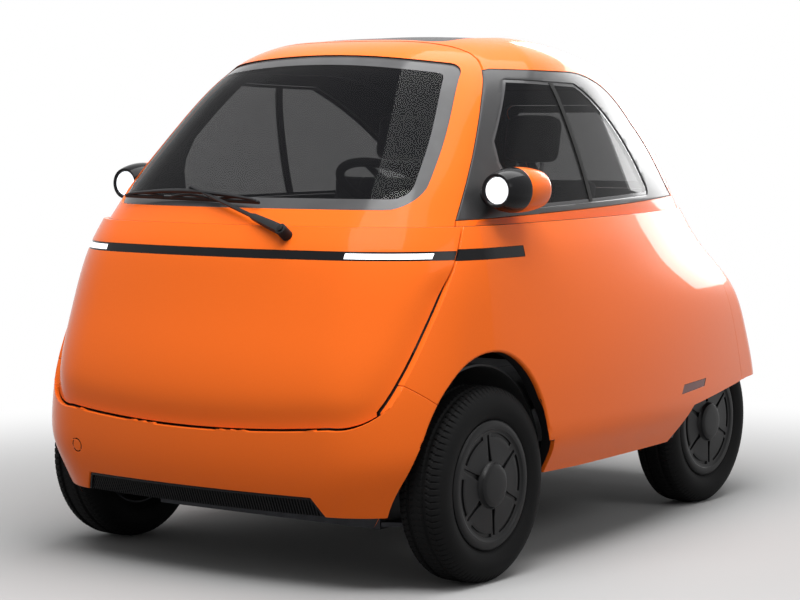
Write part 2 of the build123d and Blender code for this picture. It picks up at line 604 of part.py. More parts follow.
def make_interior():
    floor_top = FLOOR_Z + FLOOR_T + SEAT
    front, back = CUSHION_Y
    keep("battery_pack", box(-380, 380, front + 20, back - 20, floor_top, CUSHION_Z - SEAT))
    half = SEAT_W / 2
    base = box(-half, half, front, back, CUSHION_Z, CUSHION_Z + CUSHION_T)
    keep("seat_base", fillet(base.edges(), 30))
    lean = Pos(0, BACK_FOOT_Y, CUSHION_Z + CUSHION_T + 3.4) * Rot(-BACK_LEAN, 0, 0)
    keep("seat_back", lean * fillet((Pos(0, 0, BACK_H / 2) * Box(SEAT_W, BACK_T, BACK_H)).edges(), 30))
    heads, posts = [], []
    low = BACK_H + HEADREST_RISE
    for x in (-SEAT_X, SEAT_X):
        block = Pos(x, 0, low + HEADREST[2] / 2) * Box(*HEADREST)
        heads.append(lean * fillet(block.edges(), 35))
        for dx in (-45, 45):
            posts.append(lean * rod((x + dx, 0, BACK_H + SEAT), (x + dx, 0, low - SEAT), 5.5))
    keep("headrests", Compound(heads))
    keep("headrest_posts", Compound(posts))

    inner = lower_loft(WALL + SEAT)
    keep("dash_beam", main_solid(inner & box(-480, 480, -FAR, -950, 880, 950)))
    frame = Pos(*STEER_POINT) * Rot(-COLUMN_LEAN, 0, 0)
    column = frame * rod((0, 0, -1000), (0, 0, -30 - SEAT), COLUMN_R)
    keep("steering_column", column & box(0, 600, TUB_FRONT_Y + TUB_WALL + SEAT, 0, FLOOR_Z + TUB_WALL + SEAT, FAR))
    ring = Torus(STEER_RING_R, STEER_GRIP_R)
    hub = rod((0, 0, -30), (0, 0, 6), 40)
    wheel = ring + hub
    for turn in (0, 180, 270):
        wheel = wheel + Rot(0, 0, turn) * box(0, STEER_RING_R, -13, 13, -10, 2)
    keep("steering_wheel", frame * wheel)


def make_pods():
    """Lamp and mirror pods on the window frames."""
    x = POD_FACE - POD_R
    half = [Line((-POD_HALF, 0), (POD_HALF, 0)), EllipticalCenterArc((0, 0), POD_HALF, POD_R, 0, arc_size=180)]
    place = Pos(x, POD_Y, POD_Z) * Rot(0, 0, 90)
    egg = place * revolve(make_face(Curve() + half), Axis.X, 360)
    outer = upper_loft(TRIM_IN - SEAT)
    stalk_y, stalk_z = POD_Y - 30, POD_Z - 18
    stalk = rod((500, stalk_y, stalk_z), (x, stalk_y, stalk_z), 26) - outer
    shell = egg + main_solid(stalk)
    shell = shell - box(0, FAR, -FAR, LAMP_Y, 0, FAR) - box(0, FAR, POD_SEAM_Y, FAR, 0, FAR)
    start, end = POD_SEAM_Y + SEAT - POD_Y, MIRROR_Y - POD_Y
    rim_r = MIRROR_R + MIRROR_RIM
    swell = POD_R - (POD_R - rim_r) / 4
    edges = [Polyline((end, rim_r), (end, 0), (start, 0), (start, POD_R))]
    edges += [ThreePointArc((start, POD_R), ((start + end) / 2, swell), (end, rim_r))]
    cap = place * revolve(make_face(Curve() + edges), Axis.X, 360)
    lens = rod((x, LAMP_Y - 12, POD_Z), (x, LAMP_Y - SEAT, POD_Z), LAMP_R)
    glass = rod((x, MIRROR_Y + SEAT, POD_Z), (x, MIRROR_Y + 4, POD_Z), MIRROR_R)
    keep("pod_shells", both(main_solid(shell)))
    keep("pod_caps", both(main_solid(cap)))
    keep("headlamp_lenses", both(lens))
    keep("mirror_glasses", both(glass))


def make_wiper():
    pivot, elbow = (237, -1124, 950), (-160, -1036, 1060)
    tip_far, tip_near = (-431, -1008, 1030), (105, -1056, 1022)
    parts = [rod(pivot, (237, -1080, 925), 13), rod(pivot, elbow, 6), rod(tip_far, tip_near, 6)]
    middle = tuple((a + b) / 2 for a, b in zip(tip_far, tip_near))
    parts += [rod(elbow, middle, 6), rod((237, -1134, 956), pivot, 15)]
    wiper = parts[0]
    for piece in parts[1:]:
        wiper = wiper + piece
    keep("wiper", main_solid(wiper - lower_loft(-SEAT) - upper_loft(-SEAT)))


if __name__ == "__main__":
    make_panels()
    make_structure()
    make_front_axle()
    make_rear_axle()
    make_wheels()
    make_interior()
    make_pods()
    make_wiper()
    for name, shape in NODES.items():
        export_step(shape, "parts/" + name + ".step")
        print(name, len(shape.solids()), round(shape.volume / 1000))
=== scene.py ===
# %% [markdown]
# # A microcar with a front door
# The CAD model is loaded first. It gives every node its place and its body, and it never moves. Each
# visible piece is then either a CAD node with a finish, or a better piece that stands for the node.
# All lengths below are in millimetres and are turned into metres when a mesh is made.

# %% Load the frame
import bmesh
import bpy
import json
import math
import numpy as np
from mathutils import Matrix, Vector
from mathutils.bvhtree import BVHTree

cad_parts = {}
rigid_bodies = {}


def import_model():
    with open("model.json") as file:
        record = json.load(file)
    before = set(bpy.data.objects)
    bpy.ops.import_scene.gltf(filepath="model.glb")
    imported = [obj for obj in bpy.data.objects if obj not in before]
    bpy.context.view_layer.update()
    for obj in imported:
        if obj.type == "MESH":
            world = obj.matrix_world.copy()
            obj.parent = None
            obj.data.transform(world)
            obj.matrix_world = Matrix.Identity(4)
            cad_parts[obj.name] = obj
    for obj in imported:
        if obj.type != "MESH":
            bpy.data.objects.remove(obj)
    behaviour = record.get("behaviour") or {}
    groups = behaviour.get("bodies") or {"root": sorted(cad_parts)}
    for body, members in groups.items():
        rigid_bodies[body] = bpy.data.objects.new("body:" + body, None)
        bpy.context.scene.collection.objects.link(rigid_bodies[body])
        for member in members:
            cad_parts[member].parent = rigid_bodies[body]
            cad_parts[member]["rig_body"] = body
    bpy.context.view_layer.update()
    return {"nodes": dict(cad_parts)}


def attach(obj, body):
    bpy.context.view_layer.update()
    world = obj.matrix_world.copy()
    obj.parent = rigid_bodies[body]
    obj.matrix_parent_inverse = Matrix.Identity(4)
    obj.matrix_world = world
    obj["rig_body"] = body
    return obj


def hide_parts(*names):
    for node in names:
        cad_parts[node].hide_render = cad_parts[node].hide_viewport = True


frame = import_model()
nodes = frame["nodes"]
bpy.ops.object.select_all(action="DESELECT")
MM = 0.001
FAR = 1700.0
print("nodes", len(nodes))

# %% [markdown]
# ## Helpers for pieces
# A new mesh is made from points and faces, given its material and its body, and told which CAD node it
# stands for. Modifiers are applied at once, so what is seen is the real mesh.

# %% Make, apply and place pieces
def new_piece(name, points, faces, material=None):
    mesh = bpy.data.meshes.new(name)
    mesh.from_pydata([tuple(MM * c for c in p) for p in points], [], faces)
    mesh.update()
    piece = bpy.data.objects.new(name, mesh)
    bpy.context.scene.collection.objects.link(piece)
    if material:
        mesh.materials.append(material)
    return piece


def active(piece):
    bpy.ops.object.select_all(action="DESELECT")
    piece.select_set(True)
    bpy.context.view_layer.objects.active = piece


def modify(piece, kind, **settings):
    active(piece)
    modifier = piece.modifiers.new(kind.title(), kind)
    for key, value in settings.items():
        setattr(modifier, key, value)
    bpy.ops.object.modifier_apply(modifier=modifier.name)


def edit(piece, *steps):
    """Run edit-mode operators on the whole piece. A step is an operator, or an operator and its settings."""
    active(piece)
    bpy.ops.object.mode_set(mode="EDIT")
    bpy.ops.mesh.select_all(action="SELECT")
    for step in steps:
        operator, settings = step if isinstance(step, tuple) else (step, {})
        operator(**settings)
    bpy.ops.object.mode_set(mode="OBJECT")


def soft_edges(piece, width, segments=2, angle=40):
    modify(piece, "BEVEL", width=width * MM, segments=segments, limit_method="ANGLE",
           angle_limit=math.radians(angle), use_clamp_overlap=False)


def shade(piece, angle=35):
    active(piece)
    bpy.ops.object.shade_smooth_by_angle(angle=math.radians(angle))


def copy_of(piece, name):
    twin = piece.copy()
    twin.data = piece.data.copy()
    twin.name = name
    for key in list(twin.keys()):
        del twin[key]
    twin.parent = None
    bpy.context.scene.collection.objects.link(twin)
    return twin


def joined(name, pieces):
    bpy.ops.object.select_all(action="DESELECT")
    for piece in pieces:
        piece.select_set(True)
    bpy.context.view_layer.objects.active = pieces[0]
    if len(pieces) > 1:
        bpy.ops.object.join()
    pieces[0].name = name
    return pieces[0]


def flipped(piece, name):
    """The piece's mirror image across the middle plane, with its faces turned the right way."""
    twin = copy_of(piece, name)
    twin.data.transform(Matrix.Diagonal((-1, 1, 1, 1)))
    twin.data.flip_normals()
    return twin


def place(piece, *replaced, body=None):
    """Ride on the first replaced node's body and stand for the nodes."""
    for k, material in enumerate(piece.data.materials):
        if material is None:
            piece.data.materials[k] = piece.data.materials[0]
    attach(piece, body or nodes[replaced[0]]["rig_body"])
    if replaced:
        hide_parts(*replaced)
    return piece


# %% [markdown]
# ## The body's shape
# The body is drawn as a stack of plan outlines, from the sills to the roof. Each outline is a bowed nose,
# rounded corners, curved flanks and a bowed tail. A smooth curve through every outline's matching points
# gives one even surface, so reflections run over it without kinks.

# %% Plan outlines from the ground up
# height, front y, front bow, front half width, widest half width, its y, rear half width, rear bow,
# rear y, front corner radius, rear corner radius
LOWER = [
    (205, -1215, 60, 600, 640, -800, 470, 40, 1240, 240, 190),
    (268, -1240, 65, 634, 668, -800, 472, 50, 1250, 270, 200),
    (340, -1256, 70, 664, 706, -800, 465, 55, 1257, 295, 220),
    (420, -1259.5, 72, 670, 716, -800, 455, 58, 1259.5, 312, 235),
    (540, -1250, 75, 662, 714, -800, 438, 60, 1247, 328, 262),
    (700, -1202, 78, 650, 700, -800, 400, 60, 1205, 331, 286),
    (840, -1160, 85, 626, 682, -800, 345, 55, 1070, 330, 320),
    (905, -1138, 90, 600, 668, -800, 330, 55, 1010, 330, 310),
    (962, -1106, 90, 570, 650, -800, 325, 50, 955, 320, 294),
]
UPPER = [
    (962, -1092, 90, 575, 626, -780, 320, 50, 955, 300, 300),
    (1060, -1012, 85, 560, 606, -640, 301, 50, 892, 270, 310),
    (1180, -905, 80, 522, 576, -520, 291, 50, 795, 265, 290),
    (1300, -795, 72, 476, 538, -400, 278, 50, 674, 263, 254),
    (1400, -690, 66, 417, 486, -300, 255, 50, 530, 265, 225),
    (1460, -575, 60, 338, 405, -250, 185, 50, 360, 235, 185),
    (1490, -410, 45, 245, 300, -180, 110, 40, 175, 170, 105),
    (1501, -250, 30, 110, 120, -120, 40, 20, -30, 90, 35),
]
WAIST_Z, ROOF_CURVE_Z, ROOF_Z = 962.0, 1350.0, 1501.0
WALL, PILLAR = 42.0, 36.0


def arc(centre, radius, start, end, count):
    """Points on a circle from one point to another, the short way round."""
    a = math.atan2(start[1] - centre[1], start[0] - centre[0])
    b = math.atan2(end[1] - centre[1], end[0] - centre[0])
    turn = (b - a + math.pi) % (2 * math.pi) - math.pi
    angles = a + turn * np.linspace(0, 1, count + 1)
    return np.stack([centre[0] + radius * np.cos(angles), centre[1] + radius * np.sin(angles)], 1)


def plan_outline(row, inset, steps):
    """Half of one plan outline, from the middle of the nose to the middle of the tail."""
    z, front_y, bow_f, front_w, wide_w, wide_y, rear_w, bow_r, rear_y, round_f, round_r = row
    front_y, rear_y = front_y + inset, rear_y - inset
    front_w, wide_w, rear_w = front_w - inset, wide_w - inset, rear_w - 0.8 * inset
    round_f, round_r = max(round_f - inset, 20), max(round_r - inset, 20)
    nose_r = (front_w**2 + bow_f**2) / (2 * bow_f)
    nose = np.array((0, front_y + nose_r))
    corner, wide = np.array((front_w, front_y + bow_f)), np.array((wide_w, wide_y))
    along = (wide - corner) / np.linalg.norm(wide - corner)
    inward = np.array((-along[1], along[0]))
    start = corner + inward * round_f - nose
    dot = start @ along
    shift = -dot - math.sqrt(dot**2 - start @ start + (nose_r - round_f) ** 2)
    front = corner + inward * round_f + along * shift
    front_in = nose + (front - nose) / np.linalg.norm(front - nose) * nose_r
    front_out = corner + along * shift
    depth, reach = wide_w - rear_w, rear_y - bow_r - wide_y
    flank_r = (depth**2 + reach**2) / (2 * depth)
    flank = np.array((wide_w - flank_r, wide_y))
    tail_r = (rear_w**2 + bow_r**2) / (2 * bow_r)
    tail = np.array((0, rear_y - tail_r))
    round_r = min(round_r, 0.8 * tail_r, 0.8 * flank_r)
    gap = tail - flank
    far = np.linalg.norm(gap)
    r1, r2 = flank_r - round_r, tail_r - round_r
    a = (r1**2 - r2**2 + far**2) / (2 * far)
    h = math.sqrt(max(0.0, r1**2 - a**2))
    side = np.array((gap[1], -gap[0])) / far
    foot, last = flank + gap / far * a, np.array((rear_w, rear_y - bow_r))
    rear = min((foot + side * h, foot - side * h), key=lambda p: np.linalg.norm(p - last))
    rear_in = flank + (rear - flank) / r1 * flank_r
    rear_out = tail + (rear - tail) / r2 * tail_r
    runs = [
        arc(nose, nose_r, (0, front_y), front_in, steps[0]),
        arc(front, round_f, front_in, front_out, steps[1]),
        np.linspace(front_out, wide, steps[2] + 1),
        arc(flank, flank_r, wide, rear_in, steps[3]),
        arc(rear, round_r, rear_in, rear_out, steps[4]),
        arc(tail, tail_r, rear_out, (0, rear_y), steps[5]),
    ]
    half = np.vstack([run[:-1] for run in runs] + [runs[-1][-1:]])
    half[0, 0] = half[-1, 0] = 0.0
    return np.column_stack([half, np.full(len(half), float(z))])


def through(rows, between):
    """A smooth curve through every matching point of the rows, with extra rows in between."""
    rows = np.array(rows)
    chord = np.linalg.norm(np.diff(rows, axis=0), axis=2).mean(1)
    t = np.concatenate([[0], np.cumsum(chord)])
    n = len(t)
    gaps = np.diff(t)
    system, right = np.zeros((n, n)), np.zeros((n,) + rows.shape[1:])
    for i in range(1, n - 1):
        system[i, i - 1:i + 2] = gaps[i - 1], 2 * (gaps[i - 1] + gaps[i]), gaps[i]
        right[i] = 6 * ((rows[i + 1] - rows[i]) / gaps[i] - (rows[i] - rows[i - 1]) / gaps[i - 1])
    for i, j, k in ((0, 1, 2), (n - 1, n - 2, n - 3)):
        a, b = abs(t[j] - t[i]), abs(t[k] - t[j])
        system[i, i], system[i, j], system[i, k] = b, -(a + b), a
    bend = np.linalg.solve(system, right.reshape(n, -1)).reshape(right.shape)
    made, places = [], []
    for i in range(n - 1):
        for s in np.linspace(0, 1, between[i] + 1)[:-1]:
            u, v, g = s, 1 - s, gaps[i]
            made.append(v * rows[i] + u * rows[i + 1]
                        + g**2 / 6 * ((v**3 - v) * bend[i] + (u**3 - u) * bend[i + 1]))
            places.append(t[i] + s * g)
    made.append(rows[-1])
    return np.array(made)


def beyond(first, second, step):
    share = step / abs(second[0] - first[0])
    return tuple(a + (a - b) * share for a, b in zip(first, second))


def whole(half_rows):
    """Both halves of each row, as closed rings of points."""
    other = half_rows[:, 1:-1][:, ::-1] * np.array((-1, 1, 1))
    return np.concatenate([half_rows, other], axis=1)


def lower_rings(inset, steps, between):
    rows = [beyond(LOWER[0], LOWER[1], 20)] + LOWER + [beyond(LOWER[-1], LOWER[-2], 20)]
    rows = [plan_outline(row, inset, steps) for row in rows]
    made = through(rows, [1] + [between] * (len(LOWER) - 1) + [1])
    return whole(made[1:-1])


def upper_rings(inset, steps, between):
    rows = []
    for row in [beyond(UPPER[0], UPPER[1], 20)] + UPPER:
        over = max(0.0, row[0] - ROOF_CURVE_Z) / (ROOF_Z - ROOF_CURVE_Z)
        rows.append(plan_outline((row[0] - inset * over,) + tuple(row[1:]), inset, steps))
    made = through(rows, [1] + [between] * (len(UPPER) - 1))
    return whole(made[1:])


def ring_faces(first, count, rows, inside_out=False):
    faces = []
    for r in range(rows - 1):
        for k in range(count):
            a, b = first + r * count + k, first + r * count + (k + 1) % count
            face = (a, b, b + count, a + count)
            faces.append(face[::-1] if inside_out else face)
    return faces


FINE, COARSE = (12, 22, 8, 34, 22, 10), (6, 11, 4, 17, 11, 5)
# %% [markdown]
# ## A hollow body to cut panels from
# Each panel is as thick as the real door or wall. So the outer surface and an inner one are closed into a
# hollow shell, painted outside and lined inside, and every panel is cut out of it.

# %% Hollow shells and thin skins
def hollow(name, outer, inner, roofed, paint, lining):
    """Closed wall between an outer and an inner stack of rings. A roofed one is closed at its top."""
    rows, count = outer.shape[:2]
    points = [p for ring in outer for p in ring] + [p for ring in inner for p in ring]
    skin = ring_faces(0, count, rows)
    inside = ring_faces(rows * count, count, rows, inside_out=True)
    shift = rows * count
    rim = [(k, shift + k, shift + (k + 1) % count, (k + 1) % count) for k in range(count)]
    last = (rows - 1) * count
    if roofed:
        skin.append(tuple(last + k for k in range(count)))
        inside.append(tuple(shift + last + k for k in reversed(range(count))))
    else:
        rim += [(last + k, last + (k + 1) % count, shift + last + (k + 1) % count, shift + last + k)
                for k in range(count)]
    piece = new_piece(name, points, skin + inside + rim, paint)
    if lining is not paint:
        piece.data.materials.append(lining)
        for polygon in piece.data.polygons:
            polygon.material_index = int(len(skin) <= polygon.index < len(skin) + len(inside))
    return piece


# %% [markdown]
# ## Cutting tools
# A panel's edge is drawn flat, seen from the side, from the front or from above, and pushed through the
# body. Corners of an outline are rounded before it becomes a tool.

# %% Outlines and prisms
def arc3(start, middle, end, count=16):
    """Points on the circle through three points."""
    (ax, ay), (bx, by), (cx, cy) = start, middle, end
    d = 2 * (ax * (by - cy) + bx * (cy - ay) + cx * (ay - by))
    sa, sb, sc = ax * ax + ay * ay, bx * bx + by * by, cx * cx + cy * cy
    centre = ((sa * (by - cy) + sb * (cy - ay) + sc * (ay - by)) / d,
              (sa * (cx - bx) + sb * (ax - cx) + sc * (bx - ax)) / d)
    radius = math.hypot(ax - centre[0], ay - centre[1])
    first = arc(centre, radius, start, middle, count // 2)
    second = arc(centre, radius, middle, end, count // 2)
    return [tuple(p) for p in first[:-1]] + [tuple(p) for p in second]


def stretch(run, low, high):
    """A run of points with a length cut off each end."""
    run = np.array(run, float)
    along = np.concatenate([[0], np.cumsum(np.linalg.norm(np.diff(run, axis=0), axis=1))])
    ends = low, along[-1] - high
    inner = [tuple(p) for p, a in zip(run, along) if ends[0] + 0.01 < a < ends[1] - 0.01]
    first, last = (tuple(np.interp(end, along, run[:, k]) for k in (0, 1)) for end in ends)
    return [first] + inner + [last]


def direction(a, b):
    return np.subtract(b, a) / np.linalg.norm(np.subtract(b, a))


def rounded(runs, radius):
    """Closed outline from runs that meet at corners, each corner rounded."""
    cuts = []
    for run, after in zip(runs, runs[1:] + runs[:1]):
        cosine = direction(*run[-2:]) @ direction(*after[:2])
        cuts.append(radius * math.tan(math.acos(max(-1.0, min(1.0, cosine))) / 2))
    runs = [stretch(run, cuts[i - 1], cuts[i]) for i, run in enumerate(runs)]
    points = []
    for run, after in zip(runs, runs[1:] + runs[:1]):
        a, b = direction(*run[-2:]), direction(*after[:2])
        pull = 4 / 3 * math.tan(math.acos(max(-1.0, min(1.0, a @ b))) / 4) * radius
        p, q = np.array(run[-1]), np.array(after[0])
        c, d = p + a * pull, q - b * pull
        bend = [(1 - t)**3 * p + 3 * (1 - t)**2 * t * c + 3 * (1 - t) * t * t * d + t**3 * q
                for t in np.linspace(0, 1, 10)[1:-1]]
        points += run + [tuple(point) for point in bend]
    return points


def lines(*points):
    """Straight runs between points, closed."""
    return [[a, b] for a, b in zip(points, points[1:] + points[:1])]


def grown(points, amount):
    """Move a closed outline outwards by amount."""
    pts = np.array(points, float)
    keep = np.linalg.norm(pts - np.roll(pts, 1, 0), axis=1) > 0.01
    pts = pts[keep]
    ahead = np.roll(pts, -1, 0) - pts
    ahead /= np.linalg.norm(ahead, axis=1)[:, None]
    area = np.sum(pts[:, 0] * np.roll(pts[:, 1], -1) - np.roll(pts[:, 0], -1) * pts[:, 1])
    normal = np.stack([ahead[:, 1], -ahead[:, 0]], 1) * np.sign(area)
    back = np.roll(normal, 1, 0)
    both_sides = normal + back
    return [tuple(p) for p in pts + amount * both_sides / (1 + np.sum(normal * back, 1))[:, None]]


def prism(points, axis, low, high):
    """Push a flat outline through the body along X, Y or Z."""
    bpy.ops.mesh.primitive_circle_add(vertices=len(points), fill_type="NGON")
    tool = bpy.context.active_object
    for vertex, (u, v) in zip(tool.data.vertices, points):
        vertex.co = [MM * c for c in {"X": (low, u, v), "Y": (u, low, v), "Z": (u, v, low)}[axis]]
    push = [MM * (high - low) if letter == axis else 0 for letter in "XYZ"]
    edit(tool, (bpy.ops.mesh.extrude_region_move, {"TRANSFORM_OT_translate": {"value": push}}),
         (bpy.ops.mesh.select_all, {"action": "SELECT"}),
         (bpy.ops.mesh.normals_make_consistent, {"inside": False}))
    return tool


def block(x0, x1, y0, y1, z0, z1):
    bpy.ops.mesh.primitive_cube_add(size=1)
    cube = bpy.context.active_object
    low, high = (x0, y0, z0), (x1, y1, z1)
    for vertex in cube.data.vertices:
        vertex.co = [MM * (h if c > 0 else l) for c, l, h in zip(vertex.co, low, high)]
    return cube


def cut(piece, operation, *tools):
    """Cut with the tools. A tool with a material gives it to the faces that it cuts."""
    for tool in tools:
        transfer = "TRANSFER" if tool.data.materials else "INDEX"
        modify(piece, "BOOLEAN", object=tool, operation=operation, solver="MANIFOLD", material_mode=transfer)
    return piece


def carve(source, name, inside=(), outside=()):
    """A copy of the hollow body, kept inside some tools and outside others."""
    piece = copy_of(source, name)
    cut(piece, "INTERSECT", *inside)
    return cut(piece, "DIFFERENCE", *outside)


# %% Panel outlines
def mirror_run(run):
    return [(-u, v) for u, v in reversed(run)]


DOOR_REAR = [(-846, 974), (-797, 1032), (-697, 1151), (-631, 1233), (-575, 1302), (-523, 1361), (-497, 1393),
             (-480, 1418), (-475, 1436), (-481, 1451), (-495, 1463), (-513, 1475), (-522, 1490)]
DOOR_SIDE = [(-1400, 380), (-1150, 380), (-1150, 490), (-1107, 561)] + DOOR_REAR + [(-522, 1582), (-1400, 1582)]
bottom = arc3((-459, 447), (0, 425), (459, 447), 24)
turn = arc3((459, 447), (583, 491), (622, 561), 16)
DOOR_FRONT = bottom + turn[1:] + [(900, 561), (900, 1700), (-900, 1700), (-900, 561)] + mirror_run(turn)[:-1]


def windshield_outline(foot, waist, head, crown, radius):
    side = arc3(foot, waist, head, 24)
    top = arc3(head, crown, (-head[0], head[1]), 32)
    return rounded([side, top, mirror_run(side), [(-foot[0], foot[1]), foot]], radius)


SCREEN = windshield_outline((540, 1007), (506, 1180), (420, 1402), (0, 1433), 62)
trim_front = [(y + 6.5, z) for y, z in reversed(DOOR_REAR[1:6])]
TRIM = [(-838, 977)] + arc3((728, 1003), (585, 1128), (400, 1237), 16) + \
    arc3((400, 1237), (160, 1352), (-110, 1389), 24)[1:] + [(-470, 1391), (-494, 1387)] + trim_front
SIDE_GLASS = rounded([[(440, 1016), (-566, 1001)], [(-566, 1001), (-606, 1130)], [(-606, 1130), (-596, 1192)],
                      [(-596, 1192), (-440, 1362)], [(-440, 1362), (-70, 1353)],
                      arc3((-70, 1353), (146, 1252), (440, 1016), 24)], 14)
HATCH = rounded(lines((-300, 590), (300, 590), (300, 1345), (-300, 1345)), 50)
REAR_GLASS = rounded(lines((-245, 1020), (245, 1020), (222, 1298), (-222, 1298)), 45)
BUMPER = [(-1400, 100), (-900, 100), (-900, 440), (-1027, 505), (-1107, 561), (-1400, 640)]
TAIL = [(905, 735), (952, 300), (1400, 300), (1400, 735)]
UNDER = [(-497, 100), (-497, 262), (-300, 258), (300, 258), (455, 358), (760, 378), (1000, 392),
         (1400, 392), (1400, 100)]
SUNROOF = rounded(lines((-290, -480), (290, -480), (290, 240), (-290, 240)), 60)
GRILLE = [(-430, 196), (430, 196), (395, 256), (-395, 256)]
REFLECTOR = [(345, 404), (545, 410), (562, 432), (366, 430)]
# %% [markdown]
# ## Finishes
# A finish is a small network of nodes. Each one takes its pattern from Object coordinates, which on
# every piece here are metres in the car's own frame, so a grain has its real size on every piece.

# %% Finish helpers
class Finish:
    """A Principled material with short calls for noise, bump and mixes."""

    def __init__(self, name, colour, roughness, **sockets):
        self.material = bpy.data.materials.new(name)
        self.material.use_nodes = True
        self.tree = self.material.node_tree
        self.shader = self.tree.nodes["Principled BSDF"]
        self.set("Base Color", (*colour, 1))
        self.set("Roughness", roughness)
        for key, value in sockets.items():
            self.set(key.replace("_", " "), value)
        self.place = self.tree.nodes.new("ShaderNodeTexCoord").outputs["Object"]

    def set(self, socket, value):
        self.shader.inputs[socket].default_value = value

    def node(self, kind, **settings):
        made = self.tree.nodes.new("ShaderNode" + kind)
        for key, value in settings.items():
            setattr(made, key, value)
        return made

    def link(self, output, target):
        self.tree.links.new(output, target)

    def noise(self, scale, detail=3.0, stretch=(1, 1, 1)):
        mapping = self.node("Mapping")
        mapping.inputs["Scale"].default_value = stretch
        self.link(self.place, mapping.inputs["Vector"])
        made = self.node("TexNoise")
        made.inputs["Scale"].default_value = scale
        made.inputs["Detail"].default_value = detail
        self.link(mapping.outputs["Vector"], made.inputs["Vector"])
        return made.outputs["Fac"]

    def wave(self, scale, axis, rotate=(0, 0, 0)):
        mapping = self.node("Mapping")
        mapping.inputs["Rotation"].default_value = rotate
        self.link(self.place, mapping.inputs["Vector"])
        made = self.node("TexWave", wave_type="BANDS", bands_direction=axis, wave_profile="SIN")
        made.inputs["Scale"].default_value = scale
        self.link(mapping.outputs["Vector"], made.inputs["Vector"])
        return made.outputs["Fac"]

    def times(self, a, b):
        made = self.node("Math", operation="MULTIPLY")
        self.link(a, made.inputs[0])
        self.link(b, made.inputs[1])
        return made.outputs[0]

    def spread(self, value, low, high):
        """Stretch a 0 to 1 value between two numbers."""
        made = self.node("MapRange")
        made.inputs["To Min"].default_value = low
        made.inputs["To Max"].default_value = high
        self.link(value, made.inputs["Value"])
        return made.outputs["Result"]

    def rough(self, value, low, high):
        self.link(self.spread(value, low, high), self.shader.inputs["Roughness"])
        return self

    def tint(self, value, first, second):
        ramp = self.node("ValToRGB")
        ramp.color_ramp.elements[0].color = (*first, 1)
        ramp.color_ramp.elements[1].color = (*second, 1)
        ramp.color_ramp.elements[0].position = 0.3
        ramp.color_ramp.elements[1].position = 0.7
        self.link(value, ramp.inputs["Fac"])
        self.link(ramp.outputs["Color"], self.shader.inputs["Base Color"])
        return self

    def bump(self, value, strength, distance):
        made = self.node("Bump")
        made.inputs["Strength"].default_value = strength
        made.inputs["Distance"].default_value = distance
        self.link(value, made.inputs["Height"])
        self.link(made.outputs["Normal"], self.shader.inputs["Normal"])
        return self


def paint(name, colour):
    """Two-layer paint: a coloured coat with fine flake under clear lacquer."""
    made = Finish(name, colour, 0.32, Coat_Weight=0.6, Coat_IOR=1.16, Coat_Roughness=0.03, Specular_IOR_Level=0.04)
    low, high = [tuple(c * k for c in colour) for k in (0.97, 1.03)]
    made.tint(made.noise(700, 2), low, high)
    made.rough(made.noise(60, 3), 0.29, 0.35)
    return made.material


def plastic(name, colour, low, high, grain=900, depth=0.00006, **sockets):
    """Moulded plastic with a fine leather-like grain."""
    made = Finish(name, colour, (low + high) / 2, **sockets)
    grains = made.noise(grain, 2)
    made.tint(made.noise(12, 4), tuple(c * 0.9 for c in colour), tuple(c * 1.1 for c in colour))
    made.rough(grains, low, high)
    return made.bump(grains, 0.5, depth).material


def cloth(name, colour, pitch):
    """Woven cloth: two crossed sets of threads with a little fuzz."""
    made = Finish(name, colour, 0.85, Sheen_Weight=0.25, Sheen_Roughness=0.5)
    scale = 1 / pitch / 6.283
    weave = made.times(made.wave(scale, "X"), made.wave(scale, "DIAGONAL", (0.6, 0.4, 0)))
    made.tint(made.noise(25, 4), tuple(c * 0.85 for c in colour), tuple(c * 1.2 for c in colour))
    made.rough(weave, 0.78, 0.92)
    return made.bump(weave, 0.6, 0.0004).material


def tinted(name, colour, cover):
    """Dark glass: each face of a pane hides this share of what is behind it."""
    made = Finish(name, colour, 0.02, Alpha=cover, Specular_IOR_Level=0.08)
    made.rough(made.noise(3, 2), 0.01, 0.03)
    return made.material


def steel(name, colour, low, high):
    made = Finish(name, colour, low, Metallic=0.85)
    made.tint(made.noise(30, 5), tuple(c * 0.8 for c in colour), tuple(c * 1.15 for c in colour))
    return made.rough(made.noise(120, 4), low, high).material


PAINT = paint("orange gloss paint", (0.80, 0.135, 0.013))
LINING = cloth("cabin lining", (0.016, 0.016, 0.018), 0.003)
GLASS = tinted("dark tinted glass", (0.006, 0.006, 0.007), 0.50)
FRIT = plastic("ceramic glass border", (0.062, 0.062, 0.064), 0.12, 0.18, 900, 0.00001, Specular_IOR_Level=0.2)
PIANO = plastic("black gloss trim", (0.006, 0.006, 0.007), 0.10, 0.16, 500, 0.00001, Specular_IOR_Level=0.12)
SATIN = plastic("satin black plastic", (0.011, 0.011, 0.012), 0.38, 0.5, Specular_IOR_Level=0.12)
FRAME = plastic("window frame plastic", (0.03, 0.03, 0.031), 0.28, 0.36, Specular_IOR_Level=0.25)
GRAINED = plastic("grained cabin plastic", (0.02, 0.02, 0.022), 0.5, 0.62, 700, 0.0001)
RUBBER = plastic("seal rubber", (0.008, 0.008, 0.008), 0.6, 0.75, 400, 0.00005, Specular_IOR_Level=0.2)
SEAT_CLOTH = cloth("woven seat cloth", (0.03, 0.03, 0.034), 0.0022)
ROOF_CLOTH = cloth("roof fabric", (0.014, 0.014, 0.016), 0.0016)
CHASSIS = steel("black coated steel", (0.035, 0.036, 0.04), 0.42, 0.6)
CAST = steel("cast aluminium", (0.4, 0.41, 0.43), 0.38, 0.55)
CHROME = steel("polished steel", (0.6, 0.6, 0.62), 0.08, 0.16)
MIRROR = Finish("mirror glass", (0.85, 0.86, 0.88), 0.02, Metallic=1.0).material
